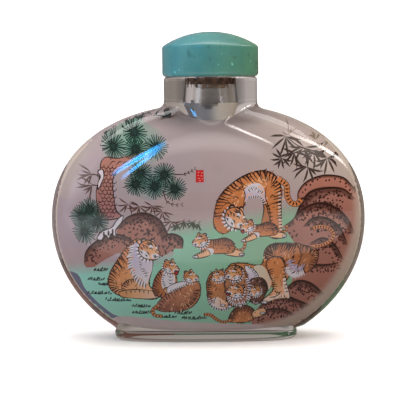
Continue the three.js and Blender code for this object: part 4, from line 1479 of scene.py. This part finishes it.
def cloudy_green(look):
    """Green glass with clouds and a few dark specks; bluer towards the left, partly its own tint and partly
    painted cool light, and lighter towards the top of the dome as painted light from above.
    """
    material, tree, shader = new_material("cloudy green glass", Roughness=0.24, IOR=1.5)
    place = tree.out("ShaderNodeTexCoord", output="Object")
    parts = tree.add("ShaderNodeSeparateXYZ", None, {0: place})
    across = tree.wire(parts, 0)
    # How near the top of the dome a place is, for painted light from above
    up = tree.wire(parts, 2).between(0.066, 0.073)
    cloud = tree.out("ShaderNodeTexNoise", sockets={"Vector": place, "Scale": 150.0, "Detail": 4.0})
    speck = tree.out("ShaderNodeTexNoise", sockets={"Vector": place, "Scale": 520.0, "Detail": 1.0})
    bubble = tree.out("ShaderNodeTexNoise", sockets={"Vector": place, "Scale": 1300.0, "Detail": 0.0})
    # Bluer to the left: partly the stone's own tint and partly painted cool light from the left
    hue = tree.out("ShaderNodeMix", {"data_type": "RGBA"}, {
        0: (across + (cloud - 0.5) * 0.012).between(-0.006, 0.012), 6: (*look.stopper_blue, 1),
        7: (*look.stopper_green, 1)}, output=2)
    # Painted light from above makes the dome lighter towards its top
    shade = ((1 + (cloud - 0.5) * 2 * look.stopper_cloud) * (1 - 0.24 * speck.between(0.64, 0.74))
             * (0.92 + 0.3 * up) + 1.2 * bubble.between(0.80, 0.84))
    tone = tree.out("ShaderNodeCombineXYZ", sockets={0: shade, 1: shade, 2: shade})
    mixed = tree.out("ShaderNodeMix", {"data_type": "RGBA", "blend_type": "MULTIPLY"},
                     {"Factor": 1.0, 6: hue, 7: tone}, output=2)
    tree.join(mixed, shader, "Base Color")
    return material


def brown_cork(look):
    """Cork with a fine brown grain."""
    material, tree, shader = new_material("cork", Roughness=0.85)
    place = tree.out("ShaderNodeTexCoord", output="Object")
    grain = tree.out("ShaderNodeTexNoise", sockets={"Vector": place, "Scale": 900.0, "Detail": 5.0})
    colour = tree.out("ShaderNodeValToRGB", {"stops": [
        (0.35, (0.06, 0.03, 0.015)), (0.55, look.cork), (0.75, (0.45, 0.30, 0.15))]}, {0: grain})
    tree.join(colour, shader, "Base Color")
    return material


# Turned pieces

def turned_tree(material):
    """Nodes for a piece turned on a lathe: flat base, rounded edge, straight side, shoulder and dome."""
    group = bpy.data.node_groups.new("Turned stopper piece", "GeometryNodeTree")
    names = ("Radius", "Edge", "Side", "Shoulder", "Dome radius", "Base", "Axis")
    for name in names:
        group.interface.new_socket(name, in_out="INPUT", socket_type="NodeSocketFloat")
    group.interface.new_socket("Sides", in_out="INPUT", socket_type="NodeSocketInt")
    group.interface.new_socket("Geometry", in_out="OUTPUT", socket_type="NodeSocketGeometry")
    tree = Tree(group)
    source = tree.add("NodeGroupInput")
    radius, edge, side, shoulder, dome, base, axis = (tree.wire(source, name) for name in names)
    grid = tree.add("GeometryNodeMeshGrid", None, {
        "Size X": 1.0, "Size Y": 1.0, "Vertices X": tree.wire(source, "Sides"), "Vertices Y": TURNED_STEPS})
    place = tree.add("ShaderNodeSeparateXYZ", None, {0: tree.out("GeometryNodeInputPosition")})
    angle = (tree.wire(place, 0) + 0.5) * (2 * math.pi)
    run = tree.wire(place, 1) + 0.5
    quarter_turn = math.pi / 2
    lean = ((radius - shoulder) / (dome - shoulder)).arcsine()
    lower = run.between(0.06, 0.2) * quarter_turn
    upper = run.between(0.4, 0.56) * (quarter_turn - lean)
    cap = lean * (1 - run.between(0.56, 1.0))
    reach = ((radius - edge) * run.between(0.0, 0.06) + edge * lower.sine() - shoulder * (1 - upper.cosine())
             - dome * (lean.sine() - cap.sine()))
    height = (base + edge * (1 - lower.cosine()) + side * run.between(0.2, 0.4) + shoulder * upper.sine()
              + dome * (cap.cosine() - lean.cosine()))
    spot = tree.out("ShaderNodeCombineXYZ", sockets={
        0: axis + reach * angle.cosine(), 1: reach * angle.sine(), 2: height})
    moved = tree.out("GeometryNodeSetPosition", sockets={"Geometry": tree.wire(grid), "Position": spot})
    joined = tree.out("GeometryNodeMergeByDistance", sockets={"Geometry": moved, "Distance": 1e-7})
    smooth = tree.out("GeometryNodeSetShadeSmooth", sockets={"Geometry": joined})
    real = tree.out("GeometryNodeRealizeInstances", sockets={"Geometry": smooth})
    painted = tree.out("GeometryNodeSetMaterial", sockets={"Geometry": real, "Material": material})
    tree.add("NodeGroupOutput", None, {"Geometry": painted})
    return group


def turned_piece(name, material, low, high, values):
    """A turned piece between two corners of its box."""
    radius = (high.x - low.x) / 2
    shoulder = values["Shoulder"]
    dome = values["Dome radius"]
    lean = math.asin((radius - shoulder) / (dome - shoulder))
    top = shoulder * math.cos(lean) + dome * (1 - math.cos(lean))
    sizes = dict(values, Radius=radius, Base=low.z, Side=high.z - low.z - values["Edge"] - top)
    group = turned_tree(material)
    maker = new_object(name, bpy.data.meshes.new(name + "_seed"))
    modifier = maker.modifiers.new("turned", "NODES")
    modifier.node_group = group
    for socket in group.interface.items_tree:
        if socket.in_out == "INPUT":
            modifier[socket.identifier] = sizes[socket.name]
    seen = maker.evaluated_get(bpy.context.evaluated_depsgraph_get())
    mesh = bpy.data.meshes.new_from_object(seen)
    mesh.name = name
    maker.modifiers.remove(modifier)
    maker.data = mesh
    face_outwards(mesh)
    return maker


def face_outwards(mesh):
    """Turns every face of a closed mesh to the outside."""
    work = bmesh.new()
    work.from_mesh(mesh)
    bmesh.ops.recalc_face_normals(work, faces=work.faces)
    work.to_mesh(mesh)
    work.free()


# What a user would change

class SNUFF_PG_look(bpy.types.PropertyGroup):
    glass: bpy.props.FloatVectorProperty(
        name="Glass", description="Tint of the clear glass", subtype="COLOR", default=(0.93, 0.93, 0.92))
    glass_roughness: bpy.props.FloatProperty(
        name="Glass roughness", description="How matt the polished glass is", default=0.015, min=0, max=0.15)
    glass_ior: bpy.props.FloatProperty(
        name="Glass index", description="How strongly the glass bends light", default=1.5, min=1, max=2)
    unevenness: bpy.props.FloatProperty(
        name="Unevenness", description="How much the brushed colours vary", default=0.12, min=0, max=1)
    paint_strength: bpy.props.FloatProperty(
        name="Paint strength", description="How light the brushed colours are", default=1.4, min=0, max=2)
    # Partly painted cool light: the stopper's left side takes this bluer colour
    stopper_blue: bpy.props.FloatVectorProperty(
        name="Stopper, blue side", description="Bluer side of the stopper", subtype="COLOR",
        default=(0.036, 0.18, 0.205))
    stopper_green: bpy.props.FloatVectorProperty(
        name="Stopper, green side", description="Greener side of the stopper", subtype="COLOR",
        default=(0.055, 0.165, 0.102))
    stopper_cloud: bpy.props.FloatProperty(
        name="Stopper clouds", description="How much the stopper's colour varies", default=0.35, min=0, max=1)
    cork: bpy.props.FloatVectorProperty(
        name="Cork", description="Middle brown of the cork", subtype="COLOR", default=(0.2, 0.11, 0.05))


class SNUFF_PG_sizes(bpy.types.PropertyGroup):
    cap_edge: bpy.props.FloatProperty(
        name="Stopper edge", description="Rounding of the stopper's lower edge", default=0.001, unit="LENGTH")
    cap_shoulder: bpy.props.FloatProperty(
        name="Stopper shoulder", description="Rounding between the stopper's side and its dome",
        default=0.001, unit="LENGTH")
    cap_dome: bpy.props.FloatProperty(
        name="Stopper dome", description="Radius of the ball that the dome is part of", default=0.0209,
        unit="LENGTH")
    cork_edge: bpy.props.FloatProperty(
        name="Cork edge", description="Rounding of the cork's lower edge", default=0.0004, unit="LENGTH")


class SNUFF_OT_bottle(bpy.types.Operator):
    """Make the glass bottle with its painted inner wall"""
    bl_idname = "snuff.bottle"
    bl_label = "Bottle"

    def execute(self, context):
        look = context.scene.snuff_look
        item = new_object("glass_bottle", bottle_mesh())
        item.data.materials.append(clear_glass(look))
        item.data.materials.append(painted_ground(look))
        finish_piece(item, "bottle", slot="bottle_glass")
        return {"FINISHED"}


class SNUFF_OT_stopper(bpy.types.Operator):
    """Make the domed stopper and the cork below it"""
    bl_idname = "snuff.stopper"
    bl_label = "Stopper and cork"

    def execute(self, context):
        look = context.scene.snuff_look
        sizes = context.scene.snuff_sizes
        axis = (CAP_LOW.x + CAP_HIGH.x) / 2
        cap = turned_piece("stopper_dome", cloudy_green(look), CAP_LOW, CAP_HIGH, {
            "Edge": sizes.cap_edge, "Shoulder": sizes.cap_shoulder, "Dome radius": sizes.cap_dome,
            "Axis": axis, "Sides": CAP_SIDES})
        finish_piece(cap, "stopper_cap", slot="stopper_green")
        cork = turned_piece("stopper_plug", brown_cork(look), CORK_LOW, CORK_HIGH, {"Edge": sizes.cork_edge,
                                                                                    "Shoulder": CORK_SHOULDER,
                                                                                    "Dome radius": CORK_DOME,
                                                                                    "Axis": axis,
                                                                                    "Sides": CORK_SIDES})
        finish_piece(cork, "stopper_cork", slot="cork")
        return {"FINISHED"}


def aim(item, target):
    """Turns a lamp to look at a place."""
    item.rotation_euler = (Vector(target) - item.location).to_track_quat("-Z", "Y").to_euler()


def heading(azimuth, rise):
    """The direction seen from the bottle at an angle round from the camera's side and one above level."""
    a = math.radians(azimuth)
    e = math.radians(rise)
    return Vector((math.sin(a) * math.cos(e), -math.cos(a) * math.cos(e), math.sin(e)))


def soft_light(name, start, end, thick, glow, colour, reach):
    """A long light between two directions, bright along its middle and fading to its edges."""
    a = heading(*start) * reach + STAGE_MIDDLE
    b = heading(*end) * reach + STAGE_MIDDLE
    along = (b - a).normalized()
    back = ((a + b) / 2 - STAGE_MIDDLE).normalized()
    across = back.cross(along).normalized()
    lamp = bpy.data.lights.new(name, "AREA")
    lamp.shape = "RECTANGLE"
    lamp.size = (b - a).length
    lamp.size_y = 2 * reach * math.tan(math.radians(thick / 2))
    lamp.energy = glow * math.pi * lamp.size * lamp.size_y
    lamp.color = colour
    lamp.use_nodes = True
    tree = Tree(lamp.node_tree)
    place = tree.add("ShaderNodeSeparateXYZ", None, {0: tree.out("ShaderNodeNewGeometry",
                                                                 output="Parametric")})
    u = tree.wire(place, 0)
    v = tree.wire(place, 1)
    fade = u * (1 - u) * 4 * (v * (1 - v) * 4)
    tree.join(fade, lamp.node_tree.nodes["Emission"], "Strength")
    item = new_object(name, lamp)
    item.matrix_world = Matrix.Translation((a + b) / 2) @ Matrix((along, across, back)).transposed().to_4x4()
    return item


def sweep_profile():
    """A floor that runs up into a wall behind the bottle in one sweep, as depth and height."""
    profile = [(PAPER_JOIN, 0.0), (PAPER_FLOOR_END, 0.0)]
    for turn in np.linspace(0, 90, 13)[1:]:
        a = math.radians(turn)
        profile.append((PAPER_FLOOR_END + PAPER_SWEEP * math.sin(a), PAPER_SWEEP * (1 - math.cos(a))))
    return profile + [(PAPER_FLOOR_END + PAPER_SWEEP, PAPER_TOP)]


def paper_mesh(profile):
    """A sheet that follows a side view across the stage."""
    points = [(x, y, z) for y, z in profile for x in (-PAPER_HALF_WIDTH, PAPER_HALF_WIDTH)]
    faces = [(2 * i, 2 * i + 1, 2 * i + 3, 2 * i + 2) for i in range(len(profile) - 1)]
    mesh = bpy.data.meshes.new("backdrop")
    mesh.from_pydata(points, [], faces)
    mesh.polygons.foreach_set("use_smooth", [True] * len(faces))
    return mesh


def lay_paper():
    """Pale paper under and behind the bottle; the part behind it isn't seen through the glass."""
    pale, _, _ = new_material("pale paper", Base_Color=PAPER_COLOUR, Roughness=0.9)
    near = new_object("floor in front", paper_mesh([(PAPER_FRONT, 0.0), (PAPER_JOIN, 0.0)]))
    far = new_object("floor and backdrop", paper_mesh(sweep_profile()))
    far.visible_transmission = False
    far.visible_glossy = False
    for paper in (near, far):
        paper.data.materials.append(pale)


def hang_lights():
    """The soft lights about the bottle, and one for the backdrop alone."""
    for values in FILLS:
        fill = soft_light(*values)
        fill.visible_glossy = False
    for values in GLEAMS:
        gleam = soft_light(*values)
        gleam.visible_diffuse = False
        gleam.visible_transmission = False
    light = bpy.data.lights.new("backdrop light", "AREA")
    light.size = BACKDROP_LIGHT_SIZE
    light.energy = BACKDROP_LIGHT_WATTS
    lamp = new_object("backdrop light", light)
    lamp.location = BACKDROP_LIGHT_PLACE
    aim(lamp, BACKDROP_LIGHT_TARGET)


def light_room(scene):
    """A dim room that is darker to the right and behind the bottle, and lighter below."""
    world = bpy.data.worlds.new("studio")
    world.use_nodes = True
    tree = Tree(world.node_tree)
    side = tree.add("ShaderNodeSeparateXYZ", None, {0: tree.out("ShaderNodeTexCoord", output="Generated")})
    right = tree.wire(side, 0).between(-1.0, 1.0)
    level = tree.wire(side, 2).between(-0.16, -0.05)
    low = 1 - tree.wire(side, 2).between(0.07, 0.14)
    behind = tree.wire(side, 1).between(0.8, 0.98) * level * low
    tone = tree.out("ShaderNodeMix", {"data_type": "RGBA"}, {0: right, 6: ROOM_LEFT, 7: ROOM_RIGHT}, output=2)
    room = world.node_tree.nodes["Background"]
    tree.join(tone, room, "Color")
    tree.join(1.35 - level * 0.35 - behind * 0.85, room, "Strength")
    scene.world = world
    scene.view_settings.view_transform = "Standard"


def set_camera(scene):
    """A camera whose picture matches the photo's framing."""
    lens = bpy.data.cameras.new("camera")
    lens.lens = CAMERA_SCALE * CAMERA_REACH * lens.sensor_width / FRAME_SIDE
    lens.shift_x = (FRAME_SIDE / 2 - AIM_AT[0]) / FRAME_SIDE
    lens.shift_y = (AIM_AT[1] - FRAME_SIDE / 2) / FRAME_SIDE
    lens.clip_start = 0.01
    camera = new_object("camera", lens)
    rise = math.radians(CAMERA_RISE)
    reach = CAMERA_REACH * MM
    camera.location = (0, -reach * math.cos(rise), AIM_Z * MM + reach * math.sin(rise))
    camera.rotation_euler = (math.pi / 2 - rise, math.radians(CAMERA_ROLL), 0)
    scene.camera = camera


class SNUFF_OT_stage(bpy.types.Operator):
    """Set up the floor, the soft lights and the camera"""
    bl_idname = "snuff.stage"
    bl_label = "Stage"

    def execute(self, context):
        lay_paper()
        hang_lights()
        light_room(context.scene)
        set_camera(context.scene)
        return {"FINISHED"}


class SNUFF_PT_panel(bpy.types.Panel):
    bl_label = "Snuff bottle"
    bl_idname = "SNUFF_PT_panel"
    bl_space_type = "VIEW_3D"
    bl_region_type = "UI"
    bl_category = "Snuff Bottle"

    def draw(self, context):
        for group in (context.scene.snuff_look, context.scene.snuff_sizes):
            for name in group.bl_rna.properties.keys():
                if name not in ("rna_type", "name"):
                    self.layout.prop(group, name)
        for operator in (SNUFF_OT_bottle, SNUFF_OT_stopper, SNUFF_OT_stage):
            self.layout.operator(operator.bl_idname)


CLASSES = (SNUFF_PG_look, SNUFF_PG_sizes, SNUFF_OT_bottle, SNUFF_OT_stopper, SNUFF_OT_stage, SNUFF_PT_panel)


def register():
    for item in CLASSES:
        bpy.utils.register_class(item)
    bpy.types.Scene.snuff_look = bpy.props.PointerProperty(type=SNUFF_PG_look)
    bpy.types.Scene.snuff_sizes = bpy.props.PointerProperty(type=SNUFF_PG_sizes)


def unregister():
    del bpy.types.Scene.snuff_sizes
    del bpy.types.Scene.snuff_look
    for item in reversed(CLASSES):
        bpy.utils.unregister_class(item)


def main():
    register()
    bpy.ops.snuff.bottle()
    bpy.ops.snuff.stopper()
    bpy.ops.snuff.stage()


if __name__ == "__main__":
    main()
